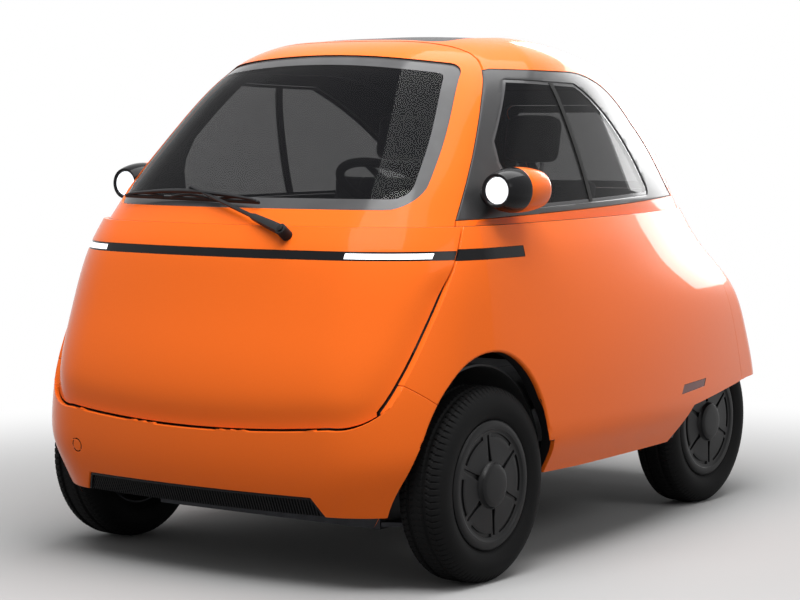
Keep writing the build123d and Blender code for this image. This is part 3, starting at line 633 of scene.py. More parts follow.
LENS_RED = plastic("dark red lens", (0.11, 0.012, 0.008), 0.08, 0.14, 300, 0.00001, Specular_IOR_Level=0.15)
UNDERBODY = plastic("underbody plastic", (0.016, 0.016, 0.017), 0.6, 0.75, 300, 0.0002)


def glowing(name, colour, strength):
    made = Finish(name, (0.9, 0.92, 0.95), 0.1, Emission_Strength=strength)
    made.set("Emission Color", (*colour, 1))
    return made.rough(made.noise(200, 2), 0.06, 0.14).material


LIGHT = glowing("white lamp", (0.92, 0.96, 1.0), 1.1)

# %% [markdown]
# ## Body panels
# Every panel is cut from two hollow bodies with the tools of its own outline: a painted skin, and a dark
# core behind it that carries the trim. Panels keep 6 mm gaps where something opens and a hairline where
# two fixed ones meet. A small bevel turns each cut edge of the skin over, as a pressed panel's edge does,
# and the reflections of the outer skin come from the uncut surface.

# %% Hollow bodies
SKIN = 14
lower_out, upper_out = lower_rings(0, FINE, 8), upper_rings(0, FINE, 9)
skins = {"low": hollow("lower_skin", lower_out, lower_rings(SKIN, FINE, 8), False, PAINT, PAINT),
         "high": hollow("upper_skin", upper_out, upper_rings(SKIN, FINE, 9), True, PAINT, PAINT)}
behind = SKIN + 0.4
cores = {"low": hollow("lower_core", lower_rings(behind, COARSE, 4), lower_rings(WALL, COARSE, 4), False, SATIN, LINING),
         "high": hollow("upper_core", upper_rings(behind, COARSE, 5), upper_rings(PILLAR, COARSE, 5), True, SATIN, LINING)}


def surface_of(rings):
    """The uncut surface, to look up how it faces at any point."""
    rows, count = rings.shape[:2]
    points = [Vector([MM * c for c in p]) for ring in rings for p in ring]
    faces = ring_faces(0, count, rows)
    flat = np.array([list(p) for p in points])
    quads = np.array(faces)
    across = np.cross(flat[quads[:, 2]] - flat[quads[:, 0]], flat[quads[:, 3]] - flat[quads[:, 1]])
    normals = np.zeros_like(flat)
    for k in range(4):
        np.add.at(normals, quads[:, k], across)
    normals /= np.linalg.norm(normals, axis=1)[:, None] + 1e-12
    return BVHTree.FromPolygons(points, faces), flat, quads, normals


SKINS = {low: surface_of(rings) for low, rings in (("low", lower_out), ("high", upper_out))}


def tuck(rings, deep=13.0, wide=48.0):
    """How far the door's skin is drawn in at each point: most at its side and lower edges."""
    flat = rings.reshape(-1, 3)
    edge = np.array(mirror_run(turn)[:-1] + bottom + turn[1:], float)
    along = np.arange(0, len(edge) - 1, 0.1)
    dense = np.stack([np.interp(along, np.arange(len(edge)), edge[:, k]) for k in (0, 1)], 1)
    away = np.array([np.linalg.norm(dense - point, axis=1).min() for point in flat[:, [0, 2]]])
    above = flat[:, 2] > np.interp(np.abs(flat[:, 0]), edge[len(edge) // 2:, 0], edge[len(edge) // 2:, 1])
    ahead = 1.2 * ((flat[:, 2] - 561) * 0.534 - (flat[:, 1] + 1107) * 0.845)
    inside = np.clip(np.minimum(np.where(above, away, 0), ahead), 0, None)
    fade = np.clip((868 - flat[:, 2]) / 90, 0, 1)
    return deep * np.exp(-(inside / wide) ** 2) * fade * fade * (3 - 2 * fade) * (flat[:, 1] < -600)


drawn_in = (SKINS["low"][3] * tuck(lower_out)[:, None]).reshape(lower_out.shape)
door_out = lower_out - drawn_in
skins["door"] = hollow("door_skin", door_out, lower_rings(SKIN, FINE, 8) - drawn_in, False, PAINT, PAINT)
SKINS["door"] = surface_of(door_out)


def facing(skin, point):
    """How the uncut surface faces at a point on it, and how far off the point lies."""
    tree, flat, quads, normals = skin
    near, _, index, away = tree.find_nearest(point)
    corners = quads[index]
    gaps = np.linalg.norm(flat[corners] - np.array(near), axis=1) + 1e-6
    weights = (1 / gaps**2)[:, None]
    normal = (normals[corners] * weights).sum(0)
    return normal / np.linalg.norm(normal), away


def smooth_skin(piece, which, depth=0.0, angle=35):
    """Give the outer skin the reflections of the uncut surface. Cut edges keep their own."""
    shade(piece, angle)
    mesh, skin = piece.data, SKINS[which]
    looked = {}
    normals = [(0.0, 0.0, 0.0)] * len(mesh.loops)
    for polygon in mesh.polygons:
        here = []
        for loop in polygon.loop_indices:
            vertex = mesh.loops[loop].vertex_index
            if vertex not in looked:
                looked[vertex] = facing(skin, mesh.vertices[vertex].co)
            here.append(looked[vertex])
        on_skin = all(abs(away - depth * MM) < 0.0004 for _, away in here)
        if on_skin and polygon.normal @ Vector(here[0][0]) > 0.8:
            for loop, (normal, _) in zip(polygon.loop_indices, here):
                normals[loop] = tuple(normal)
    mesh.normals_split_custom_set(normals)


def clean_cuts(piece, near=1.6, reach=3.2, only=None):
    """Weld the short edges and close points that a cut leaves along its line, so that a bevel stays even."""
    mesh = bmesh.new()
    mesh.from_mesh(piece.data)
    bmesh.ops.remove_doubles(mesh, verts=mesh.verts, dist=0.00005)

    def on_cut():
        edges = [e for e in mesh.edges if len(e.link_faces) == 2 and e.calc_face_angle(0) > 0.75]
        return {v for e in edges for v in e.verts if only is None or only(v.co)}

    bmesh.ops.remove_doubles(mesh, verts=list(on_cut()), dist=near * MM)
    sharp = on_cut()
    targets = {}
    for vertex in mesh.verts:
        if vertex in sharp:
            continue
        others = [(e.calc_length(), e.other_vert(vertex)) for e in vertex.link_edges]
        others = [(length, o) for length, o in others if o in sharp and length < reach * MM]
        if others:
            targets[vertex] = min(others, key=lambda pair: pair[0])[1]
    bmesh.ops.weld_verts(mesh, targetmap=targets)
    bmesh.ops.dissolve_degenerate(mesh, edges=mesh.edges, dist=0.00001)
    mesh.to_mesh(piece.data)
    mesh.free()


def on_arch(point):
    """Whether a point lies on the rim of a front wheel arch."""
    _, y, z = (c / MM for c in point)
    return z > 275 and abs(((y + 808) / 285) ** 2 + ((z - 266.5) / 361) ** 2 - 1) < 0.02


def rolled_lip(piece, which, width=7.0):
    """Turn the wheel arch's rim over with a wide round."""
    clean_cuts(piece, 5, width * 1.4, on_arch)
    mesh = bmesh.new()
    mesh.from_mesh(piece.data)
    weight = mesh.edges.layers.float.new("bevel_weight_edge")
    for edge in mesh.edges:
        ends = [vertex.co for vertex in edge.verts]
        if all(on_arch(co) and facing(SKINS[which], co)[1] < 0.0004 for co in ends) \
                and len(edge.link_faces) == 2 and edge.calc_face_angle(0) > 0.75:
            edge[weight] = 1.0
    mesh.to_mesh(piece.data)
    mesh.free()
    modify(piece, "BEVEL", width=width * MM, segments=4, limit_method="WEIGHT", use_clamp_overlap=False)
    for vertex in piece.data.vertices:
        near, normal, _, away = SKINS[which][0].find_nearest(vertex.co)
        if away > 0.0004 and (vertex.co - near) @ Vector(facing(SKINS[which], vertex.co)[0]) > 0:
            vertex.co = near


def finish_panel(piece, which, *replaced, bevel=1.2, arch=False):
    if arch:
        rolled_lip(piece, which)
    clean_cuts(piece, 1.6, max(3.2, 1.5 * bevel))
    soft_edges(piece, bevel, 2, 50)
    smooth_skin(piece, which)
    print(piece.name, len(piece.data.polygons), "faces")
    return place(piece, *replaced)


# %% Cut the panels
GAP, HAIR = 6.0, 0.6
door_tools = [prism(DOOR_SIDE, "X", -800, 800), prism(DOOR_FRONT, "Y", -1600, -200)]
door_hole = cut(prism(grown(DOOR_SIDE, GAP), "X", -800, 800), "INTERSECT",
                prism(grown(DOOR_FRONT, GAP), "Y", -1600, -200))
hatch_tool, hatch_hole = prism(HATCH, "Y", 350, FAR), prism(grown(HATCH, GAP), "Y", 350, FAR)
under = prism(UNDER, "X", -800, 800)
ellipse = [(-808 + 285 * math.cos(t), 266.5 + 361 * math.sin(t)) for t in np.linspace(0, 2 * math.pi, 73)[:-1]]
arches = []
for side in (-1, 1):
    near, far = sorted((side * 381, side * 800))
    tool = prism(ellipse, "X", near, far)
    foot = prism([(-1093, 266), (-1093, 100), (-488, 100), (-488, 250), (-540, 360), (-560, 440),
                  (-700, 440)], "X", near, far)
    arches += [tool, foot]


def cylinder(start, end, radius, count=96):
    """A closed rod between two points."""
    bpy.ops.mesh.primitive_cylinder_add(vertices=count, radius=1, depth=1)
    rod = bpy.context.active_object
    line = (Vector(end) - Vector(start)) * MM
    turn = line.to_track_quat("Z", "Y").to_matrix().to_4x4()
    middle = (Vector(end) + Vector(start)) * MM / 2
    size = Matrix.Diagonal((radius * MM, radius * MM, line.length, 1))
    rod.data.transform(Matrix.Translation(middle) @ turn @ size)
    return rod


wells = [cylinder((s * 412, -799, 266.5), (s * 706, -799, 266.5), 307) for s in (-1, 1)]
for s in (-1, 1):
    wells += [cylinder((s * 285, 761, 266.5), (s * out, 761, 266.5), radius)
              for out, radius in ((508.5, 248), (497.5, 266), (486.5, 274))]

strip_slot = block(-800, 800, -1600, -700, 876, 900)
bumper_tool, tail_tool = prism(BUMPER, "X", -800, 800), prism(TAIL, "X", -800, 800)
bumper_hole, tail_hole = prism(grown(BUMPER, HAIR), "X", -800, 800), prism(grown(TAIL, HAIR), "X", -800, 800)
mouth_hole = prism(grown(GRILLE, 1), "Y", -1600, -1000)
half_tool = block(1, 900, -1600, 1600, 0, 1200)
trim_holes = [prism(grown(TRIM, HAIR), "X", *sorted((s * 250, s * 800))) for s in (-1, 1)]
roof_hole = prism(grown(SUNROOF, 2), "Z", 1300, 1700)
screen_hole, back_hole = prism(grown(SCREEN, HAIR), "Y", -1600, -200), prism(grown(REAR_GLASS, HAIR), "Y", 350, FAR)


def cut_panels(low, high, door, tag):
    """The same panels out of one set of hollow bodies."""
    made = {"door": carve(door, "door" + tag, door_tools, [strip_slot])}
    rest = carve(low, "rest" + tag, (), [door_hole, hatch_hole, under] + arches + wells)
    made["bumper"] = carve(rest, "bumper" + tag, [bumper_tool], [mouth_hole])
    made["tail"] = carve(rest, "tail" + tag, [tail_tool])
    made["side"] = carve(rest, "side" + tag, [half_tool], [bumper_hole, tail_hole])
    made["roof"] = carve(high, "roof" + tag, (), [door_hole, hatch_hole, roof_hole] + trim_holes)
    made["door_top"] = carve(high, "door_top" + tag, door_tools, [screen_hole])
    made["hatch"] = carve(low, "hatch" + tag, [hatch_tool])
    made["hatch_top"] = carve(high, "hatch_top" + tag, [hatch_tool], [back_hole])
    return made


painted = cut_panels(skins["low"], skins["high"], skins["door"], "_panel")
inner = cut_panels(cores["low"], cores["high"], cores["low"], "_core")
print({name: len(piece.data.polygons) for name, piece in painted.items()})
# %% Place the panels
slot_body = hollow("slot_body", lower_rings(-3, FINE, 8), lower_rings(6, FINE, 8), False, PIANO, PIANO)
thin_low = hollow("strip_body", lower_rings(1.2, FINE, 8), lower_rings(5.5, FINE, 8), False, PIANO, PIANO)
flank_slot = block(560, 900, -1000, -605, 874, 904)
mark_slot = prism(grown(REFLECTOR, HAIR), "X", 500, 800)
tail_slot = block(-290.6, 290.6, 900, 1600, 861.4, 890.6)
around = [Vector((math.cos(a), math.sin(a))) for a in np.linspace(0, 2 * math.pi, 40, endpoint=False)]
wide, narrow = [prism([(-430 + r * u, 333 + r * v) for u, v in around], "Y", -1600, -900) for r in (19, 17.4)]
tow_ring = cut(cut(copy_of(slot_body, "tow_ring"), "INTERSECT", wide), "DIFFERENCE", narrow)
cut(painted["bumper"], "DIFFERENCE", tow_ring)
cut(painted["side"], "DIFFERENCE", cut(copy_of(slot_body, "flank_room"), "INTERSECT", flank_slot),
    cut(copy_of(slot_body, "mark_room"), "INTERSECT", mark_slot))
cut(painted["hatch"], "DIFFERENCE", cut(copy_of(slot_body, "tail_room"), "INTERSECT", tail_slot))
BELONGS = {"door": ("door", "door_shell"), "door_top": ("high", "door_frame"), "bumper": ("low", "front_bumper"),
           "tail": ("low", "tail_panel"), "side": ("low", "side_panel_left"), "roof": ("high", "roof_frame"),
           "hatch": ("low", "hatch_shell"), "hatch_top": ("high", "hatch_frame")}
for part, (which, node) in BELONGS.items():
    piece, core = painted[part], inner[part]
    shade(core, 30)
    arch, bevel = part in ("side", "bumper"), 3.0 if part == "bumper" else 1.2
    if part == "side":
        finish_panel(flipped(piece, "side_panel_other"), which, "side_panel_right", arch=True)
        place(flipped(core, "side_core_other"), "side_panel_right")
    finish_panel(piece, which, node, bevel=bevel, arch=arch)
    place(core, node)

# %% [markdown]
# ## Glass and black trim
# Glass follows the same surface a few millimetres lower. A printed black border hides its glued edge, so
# each pane is two pieces of one surface: the border, and the clear middle.

# %% Panes
pane_body = hollow("pane_body", upper_rings(5, FINE, 9), upper_rings(10, FINE, 9), True, GLASS, GLASS)
trim_body = hollow("trim_body", upper_rings(2, FINE, 9), upper_rings(26, FINE, 9), True, FRAME, FRAME)


def pane(name, outline, border, axis, low, high):
    clear_tool = prism(grown(outline, -border), axis, low, high)
    clear = carve(pane_body, name, [clear_tool])
    edge = carve(pane_body, name + "_border", [prism(outline, axis, low, high)], [clear_tool])
    edge.data.materials.clear()
    edge.data.materials.append(FRIT)
    glass = joined(name, [clear, edge])
    shade(glass, 30)
    return glass


place(pane("windshield_glass", SCREEN, 28, "Y", -1600, -200), "windshield")
place(pane("rear_glass", REAR_GLASS, 24, "Y", 350, FAR), "rear_window")
side_left = pane("side_glass", SIDE_GLASS, 9, "X", 250, 800)
place(joined("side_glass", [side_left, flipped(side_left, "side_glass_right")]), "side_windows")
trim_left = carve(trim_body, "window_trim", [prism(TRIM, "X", 250, 800)],
                  [prism(grown(SIDE_GLASS, 0.6), "X", 250, 800), block(250, 800, -1600, 1600, 0, 962.3)])
soft_edges(trim_left, 3, 3, 50)
shade(trim_left, 35)
place(joined("window_trim", [trim_left, flipped(trim_left, "window_trim_right")]), "window_frames")

# %% Seal between the two halves of a side window
seal_line = [(-236, 1356), (-214, 1356), (-84, 1008), (-106, 1008)]
seal_body = hollow("seal_body", upper_rings(3, FINE, 9), upper_rings(13, FINE, 9), True, RUBBER, RUBBER)
seal = carve(seal_body, "window_seal", [prism(seal_line, "X", 250, 800), prism(grown(SIDE_GLASS, -2), "X", 250, 800)])
shade(seal, 30)
place(joined("window_seal", [seal, flipped(seal, "window_seal_right")]), "window_frames")

# %% Strips, lamps and reflectors
across = block(-800, 800, -1600, -700, 876.5, 899.5)
lamp_left, lamp_right = block(425, 613, -1600, -700, 881, 895), block(-613, -425, -1600, -700, 881, 895)
strip = carve(thin_low, "door_strip", [across] + door_tools, [lamp_left, lamp_right])
shade(strip, 30)
place(strip, "light_strip")
glow = carve(thin_low, "door_lamps", [joined("lamps", [copy_of(lamp_left, "l"), copy_of(lamp_right, "r")])])
glow.data.materials.clear()
glow.data.materials.append(LIGHT)
shade(glow, 30)
place(glow, "daytime_lamps")
flank = carve(thin_low, "side_strip", [block(560, 900, -1000, -605.6, 874.6, 903.4)], [door_hole])
shade(flank, 30)
place(joined("side_strip", [flank, flipped(flank, "side_strip_right")]), "side_strips")
mark = carve(thin_low, "reflector", [prism(REFLECTOR, "X", 500, 800)])
mark.data.materials.clear()
mark.data.materials.append(LENS_RED)
place(joined("reflector", [mark, flipped(mark, "reflector_right")]), "side_reflectors")
bar = carve(thin_low, "tail_bar", [block(-290, 290, 900, 1600, 862, 890)])
bar.data.materials.clear()
bar.data.materials.append(LENS_RED)
place(bar, "tail_lamp")

# %% [markdown]
# ## The fabric roof
# The sunroof is taut black cloth over bows, a little below the roof panel around it.

# %% Roof fabric
roof_body = hollow("cloth_body", upper_rings(5, FINE, 9), upper_rings(20, FINE, 9), True, ROOF_CLOTH, LINING)
canvas = carve(roof_body, "roof_fabric", [prism(SUNROOF, "Z", 1300, 1700)])
soft_edges(canvas, 4, 3, 50)
shade(canvas, 35)
place(canvas, "sunroof")

# %% [markdown]
# ## Tyres
# A tyre is one profile turned about the axle. Its tread is a height map on that turned surface: three
# grooves run round it, slanted sipes cross the ribs, and wider slots run out over both shoulders.

# %% Turned pieces and tyres
def turned(name, profile, material, steps=96):
    """Spin a profile of (x, radius) points about the X axis."""
    bpy.ops.mesh.primitive_circle_add(vertices=len(profile))
    piece = bpy.context.active_object
    piece.name = name
    for vertex, (x, radius) in zip(piece.data.vertices, profile):
        vertex.co = (MM * x, 0, MM * radius)
    edit(piece, (bpy.ops.mesh.spin, {"steps": steps, "angle": 2 * math.pi, "center": (0, 0, 0), "axis": (1, 0, 0)}),
         (bpy.ops.mesh.select_all, {"action": "SELECT"}),
         (bpy.ops.mesh.remove_doubles, {"threshold": 0.00003}),
         bpy.ops.mesh.dissolve_degenerate, bpy.ops.mesh.delete_loose,
         (bpy.ops.mesh.select_all, {"action": "SELECT"}),
         (bpy.ops.mesh.normals_make_consistent, {"inside": False}))
    piece.data.materials.clear()
    piece.data.materials.append(material)
    return piece


PITCHES, PER_PITCH = 92, 6
TYRE_R, TYRE_HALF = 266.5, 72.5


def tread_depth(x, step):
    """How deep the tread is cut at a place across it and round it, in millimetres."""
    if abs(x) > 66:
        return 0.0
    depth = max((6.0 if abs(abs(x) - 25) < 3.4 or abs(x) < 2.8 else 0.0), 0.0)
    slant = int(abs(x) / 9) if abs(x) < 46 else 5
    phase = (step + slant) % PER_PITCH
    if abs(x) > 30 and phase == 0:
        depth = max(depth, 4.5 * min(1.0, (66 - abs(x)) / 10))
    if 4 < abs(x) < 24 and phase == 3:
        depth = max(depth, 2.4)
    return depth


def tyre_profile():
    side = arc3((58, 178), (TYRE_HALF, 215), (50, 262.5), 14)
    ridge = [(x + (0.9 if 186 < r < 190 or 226 < r < 230 else 0), r) for x, r in side]
    across = [45, 40, 35, 31, 28.4, 28.2, 21.8, 21.6, 17, 12, 7, 3, 2.8]
    crown = [(x, TYRE_R - 1.6 * (x / 48) ** 2 - (1.6 if x > 44 else 0)) for x in across]
    right_half = [(50, 165.3), (55, 171)] + ridge + crown
    return right_half + [(-x, r) for x, r in reversed(right_half)]


def make_tyre():
    profile = tyre_profile()
    steps, count = PITCHES * PER_PITCH, len(profile)
    points = []
    for step in range(steps):
        angle = 2 * math.pi * step / steps
        for x, r in profile:
            drop = tread_depth(x, step) if r > 225 else 0.0
            slope = min(1.0, max(0.0, (abs(x) - 44) / 28))
            px, pr = x - math.copysign(drop * slope, x), r - drop * (1 - 0.6 * slope)
            points.append((px, pr * math.sin(angle), pr * math.cos(angle)))
    faces = [(s * count + k, ((s + 1) % steps) * count + k, ((s + 1) % steps) * count + (k + 1) % count,
              s * count + (k + 1) % count) for s in range(steps) for k in range(count)]
    tyre = new_piece("tyre", points, faces, TYRE)
    edit(tyre, (bpy.ops.mesh.normals_make_consistent, {"inside": False}))
    shade(tyre, 30)
    return tyre


TYRE = plastic("tyre rubber", (0.006, 0.006, 0.0062), 0.6, 0.75, 350, 0.0001, Specular_IOR_Level=0.08)
MATT = plastic("matt black cover", (0.007, 0.007, 0.0075), 0.3, 0.42, 800, 0.00004, Specular_IOR_Level=0.16)

# %% [markdown]
# ## Wheels
# Behind the cover is a steel rim with its dish and hub. The cover is turned too: a raised outer ring, a
# dished face with six slots and six arcs, and a domed cap in the middle, bare of any mark.

# %% Rim and cover
def make_wheel():
    rim = turned("rim", [(-50, 160), (-50, 172), (-46, 172), (-44, 165), (44, 165), (47, 172), (51, 172),
                         (52, 158), (30, 155), (20, 60), (20, 34), (-10, 34), (-10, 15.3), (32, 15.3),
                         (32, 60), (32, 152), (-40, 158)], CHASSIS, 72)
    face = [(58, 0), (58, 60), (57, 140), (58, 150), (58, 176), (60.5, 176.5), (64, 174), (66.5, 169),
            (67, 160), (66, 153), (62.5, 149), (61.5, 144), (61.5, 120), (63, 86), (64.5, 64), (68, 60.5),
            (75, 58), (78.4, 53), (79.6, 44), (80.2, 24), (80.4, 0)]
    cover = turned("cover", face, MATT, 96)
    for k in range(6):
        turn = Matrix.Rotation(math.radians(60 * k + 6), 4, "X")
        slot = prism([(-9, 66), (7, 66), (5, 84), (3.5, 138), (-4.5, 138), (-6, 90)], "X", 50, 90)
        slot.data.transform(turn)
        sweep = prism([(131 * math.sin(a), 131 * math.cos(a)) for a in np.linspace(0.10, 0.86, 12)]
                      + [(141 * math.sin(a), 141 * math.cos(a)) for a in np.linspace(0.86, 0.10, 12)],
                      "X", 50, 90)
        sweep.data.transform(turn)
        cut(cover, "DIFFERENCE", slot, sweep)
    plate = turned("plate", [(57.5, 30), (57.5, 168), (56.5, 168), (56.5, 30)], MATT, 64)
    soft_edges(cover, 0.8, 2, 50)
    for piece in (rim, cover, plate):
        shade(piece, 30)
    return joined("wheel", [rim, cover, plate])


tyre, wheel = make_tyre(), make_wheel()
for name, x, y in (("front", 628.5, -799), ("rear", 430.5, 761)):
    for side, sign in (("left", 1), ("right", -1)):
        for source, node in ((tyre, "tyre_"), (wheel, "wheel_")):
            piece = copy_of(source, source.name + "_" + name + "_" + side)
            piece.data.transform(Matrix.Translation((x * MM, y * MM, 266.5 * MM)))
            if sign < 0:
                piece.data.transform(Matrix.Diagonal((-1, 1, 1, 1)))
                piece.data.flip_normals()
            place(piece, node + name + "_" + side)
print("tyre faces", len(tyre.data.polygons), "wheel faces", len(wheel.data.polygons))

# %% [markdown]
# ## Lamp and mirror pods
# Each pod is a short capsule beside the windshield. Its front half is black and holds a round lamp, and
# its painted rear half holds the mirror. A stalk carries it on the window trim.

# %% Pods
LENS = glowing("frosted lamp", (0.86, 0.9, 0.95), 0.55)
POD = Vector((0.6745, -0.668, 1.057))


def fore_and_aft(piece, sign=1):
    """Turn a piece made about X so that it points rearwards at the pod's place."""
    piece.data.transform(Matrix.Translation(POD) @ Matrix.Rotation(math.radians(90), 4, "Z"))
    return piece


def egg_r(y):
    return 62 * math.sqrt(max(0.0, 1 - (y / 130) ** 2))


front = [(y, egg_r(y)) for y in np.linspace(-88, -4, 14)]
shell = turned("pod_front", [(-70, 0), (-70, 36.6), (-86, 38)] + [(-88, 41)] + front
               + [(-1.5, 61.6), (-0.6, 60.4), (-0.6, 0)], PIANO, 72)
swell = arc3((0.6, 62), (54, 60.2), (106, 53), 14)
cap = turned("pod_rear", [(0.4, 0), (0.4, 60.6)] + swell[1:] + [(107.6, 51.6), (108, 49.6), (106, 48.8),
             (105.5, 0)], PAINT, 72)
lens = turned("pod_lens", [(-70.4, 0), (-70.4, 36), (-82, 36), (-85.5, 34.5), (-86.4, 30), (-85.4, 26.5),
                           (-80, 25.5), (-80, 0)], LIGHT, 64)
core = turned("pod_core", [(-79.8, 0), (-79.8, 25), (-82, 25), (-83.8, 20), (-84.5, 10), (-84.7, 0)], LENS, 48)
mirror_disc = turned("pod_mirror", [(106, 0), (106, 48), (107.4, 48), (108.2, 47), (108.4, 0)], MIRROR, 64)
stalk = cylinder((588, -698, 1039), (660, -698, 1039), 22, 48)
stalk.data.materials.append(SATIN)
for piece in (shell, cap, lens, core, mirror_disc):
    fore_and_aft(piece)
for piece in (shell, cap, lens, core, mirror_disc, stalk):
    shade(piece, 32)
shell = joined("pod_front", [shell, core, stalk])


def pair(piece, node, name):
    place(joined(name, [piece, flipped(piece, name + "_right")]), node)


pair(shell, "pod_shells", "pod_front")
pair(cap, "pod_caps", "pod_rear")
pair(lens, "headlamp_lenses", "pod_lens")
pair(mirror_disc, "mirror_glasses", "pod_mirror")

# %% [markdown]
# ## Wiper
# One arm swings from a pivot under the windshield. It is a flat tapered arm with a sprung joint near its
# foot, and it presses a bridge of levers that carry the rubber blade.

# %% Wiper
def bar(name, path, sizes, material, up=(0, -0.64, 0.77)):
    """A tapered rectangular bar through points, with its width and height at each."""
    points, faces = [], []
    path = [Vector(p) for p in path]
    for i, (at, (wide, tall)) in enumerate(zip(path, sizes)):
        ahead = (path[min(i + 1, len(path) - 1)] - path[max(i - 1, 0)]).normalized()
        lift = Vector(up)
        side = ahead.cross(lift).normalized()
        lift = side.cross(ahead).normalized()
        for u, v in ((-1, -1), (1, -1), (1, 1), (-1, 1)):
            points.append(tuple(at + side * (u * wide / 2) + lift * (v * tall / 2)))
    for i in range(len(path) - 1):
        for k in range(4):
            a, b = 4 * i + k, 4 * i + (k + 1) % 4
            faces.append((a, b, b + 4, a + 4))
    last = 4 * (len(path) - 1)
    faces += [(3, 2, 1, 0), (last, last + 1, last + 2, last + 3)]
    piece = new_piece(name, points, faces, material)
    edit(piece, (bpy.ops.mesh.normals_make_consistent, {"inside": False}))
    return piece


pivot, elbow = Vector((237, -1127, 952)), Vector((-160, -1042, 1062))
near, far = Vector((105, -1063, 1024)), Vector((-431, -1016, 1032))
arm = bar("arm", [pivot, pivot.lerp(elbow, 0.12), pivot.lerp(elbow, 0.3), pivot.lerp(elbow, 0.34), elbow],
          [(26, 16), (24, 15), (18, 11), (10, 7), (8, 6)], SATIN)
boss = cylinder((237, -1136, 958), (237, -1096, 930), 16, 40)
nut = cylinder((237, -1141, 961), (237, -1132, 956), 10, 6)
middle = near.lerp(far, 0.5)
rise = Vector((0, -6, 17))
hook = bar("hook", [elbow, elbow.lerp(middle + rise, 0.8), middle + rise], [(8, 6), (9, 7), (12, 10)], SATIN)
spine = bar("spine", [near.lerp(far, t) + rise * math.sin(math.pi * t) + Vector((0, -2, 4)) for t in np.linspace(0.04, 0.96, 15)],
            [(6 + 5 * math.sin(math.pi * t), 5 + 4 * math.sin(math.pi * t)) for t in np.linspace(0, 1, 15)], SATIN)
levers = [bar("lever", [near.lerp(far, a + (b - a) * t) + Vector((0, -2, 3 + 7 * math.sin(math.pi * t)))
                        for t in np.linspace(0, 1, 9)], [(7, 6)] * 9, SATIN) for a, b in ((0.02, 0.3), (0.36, 0.64), (0.7, 0.98))]
blade = bar("blade", [near.lerp(far, t) + Vector((0, 1, -1)) for t in np.linspace(0, 1, 13)], [(6, 10)] * 13, RUBBER)
for piece in (boss, nut):
    piece.data.materials.append(SATIN)
wiper = joined("windshield_wiper", [arm, boss, nut, hook, spine, blade] + levers)
soft_edges(wiper, 1.0, 2, 40)
shade(wiper, 35)
place(wiper, "wiper")

# %% [markdown]
# ## Lower grille
# The mouth under the bumper is a black frame with thin upright ribs in front of a closed back.

# %% Grille
back_plate = carve(hollow("grille_body", lower_rings(20, FINE, 8), lower_rings(26, FINE, 8), False, SATIN, SATIN),
                   "grille", [prism(GRILLE, "Y", -1600, -1000)])
frame_body = hollow("grille_frame", lower_rings(4, FINE, 8), lower_rings(22, FINE, 8), False, PIANO, PIANO)
inner = grown(GRILLE, -7)
lip = carve(frame_body, "grille_lip", [prism(GRILLE, "Y", -1600, -1000)], [prism(inner, "Y", -1600, -1000)])
rib_body = hollow("grille_ribs", lower_rings(9, FINE, 8), lower_rings(21, FINE, 8), False, SATIN, SATIN)
comb = [block(x - 1.6, x + 1.6, -1400, -1000, 190, 260) for x in np.arange(-413, 414, 9.0)]
ribs = carve(rib_body, "grille_comb", [joined("comb", comb)], ())
cut(ribs, "INTERSECT", prism(grown(inner, 0.5), "Y", -1600, -1000))
soft_edges(lip, 1.2, 2, 50)
for piece in (back_plate, lip, ribs):
    shade(piece, 30)
place(joined("mouth_grille", [back_plate, lip, ribs]), "lower_grille")

# %% [markdown]
# ## Seats
# The bench, its back and the headrests are padded cloth. Each starts as its CAD solid, a little smaller,
# is divided evenly, and is then blown up as cloth, with a cap on how far a point may move. The seams are
# pressed in afterwards.

# %% Padded pieces
def coordinates(piece):
    flat = np.empty(len(piece.data.vertices) * 3)
    piece.data.vertices.foreach_get("co", flat)
    return flat.reshape(-1, 3)


def directions(piece):
    flat = np.empty(len(piece.data.vertices) * 3)
    piece.data.vertices.foreach_get("normal", flat)
    return flat.reshape(-1, 3)


def move_to(piece, points):
    piece.data.vertices.foreach_set("co", points.ravel())
    piece.data.update()


def padded(node, name, voxel, smaller, cap):
    """Blow up a copy of a CAD solid as cloth. Lengths are in millimetres."""
    pad = copy_of(nodes[node], name)
    edit(pad, (bpy.ops.mesh.remove_doubles, {"threshold": 0.00001}))
    modify(pad, "REMESH", mode="VOXEL", voxel_size=voxel * MM)
    move_to(pad, coordinates(pad) - directions(pad) * smaller * MM)
    start = coordinates(pad)
    active(pad)
    cloth = pad.modifiers.new("Cloth", "CLOTH")
    cloth.settings.use_pressure = True
    cloth.settings.uniform_pressure_force = 4
    cloth.settings.effector_weights.gravity = 0
    cloth.point_cache.frame_end = 20
    for frame_number in range(1, 21):
        bpy.context.scene.frame_set(frame_number)
    bpy.ops.object.modifier_apply(modifier=cloth.name)
    bpy.context.scene.frame_set(1)
    moved = coordinates(pad) - start
    far = np.linalg.norm(moved, axis=1)[:, None] + 1e-9
    move_to(pad, start + moved * np.minimum(1, cap * MM / far))
    modify(pad, "SUBSURF", levels=1, render_levels=1)
    pad.data.materials.clear()
    pad.data.materials.append(SEAT_CLOTH)
    print(name, len(pad.data.polygons), "faces")
    return pad


def seam(pad, distance, depth, width=5.0):
    """Press a sewn line in where a distance, worked out for every point in millimetres, is nil."""
    points = coordinates(pad)
    push = depth * MM * np.exp(-(distance(points / MM) / width) ** 2)
    move_to(pad, points - directions(pad) * push[:, None])


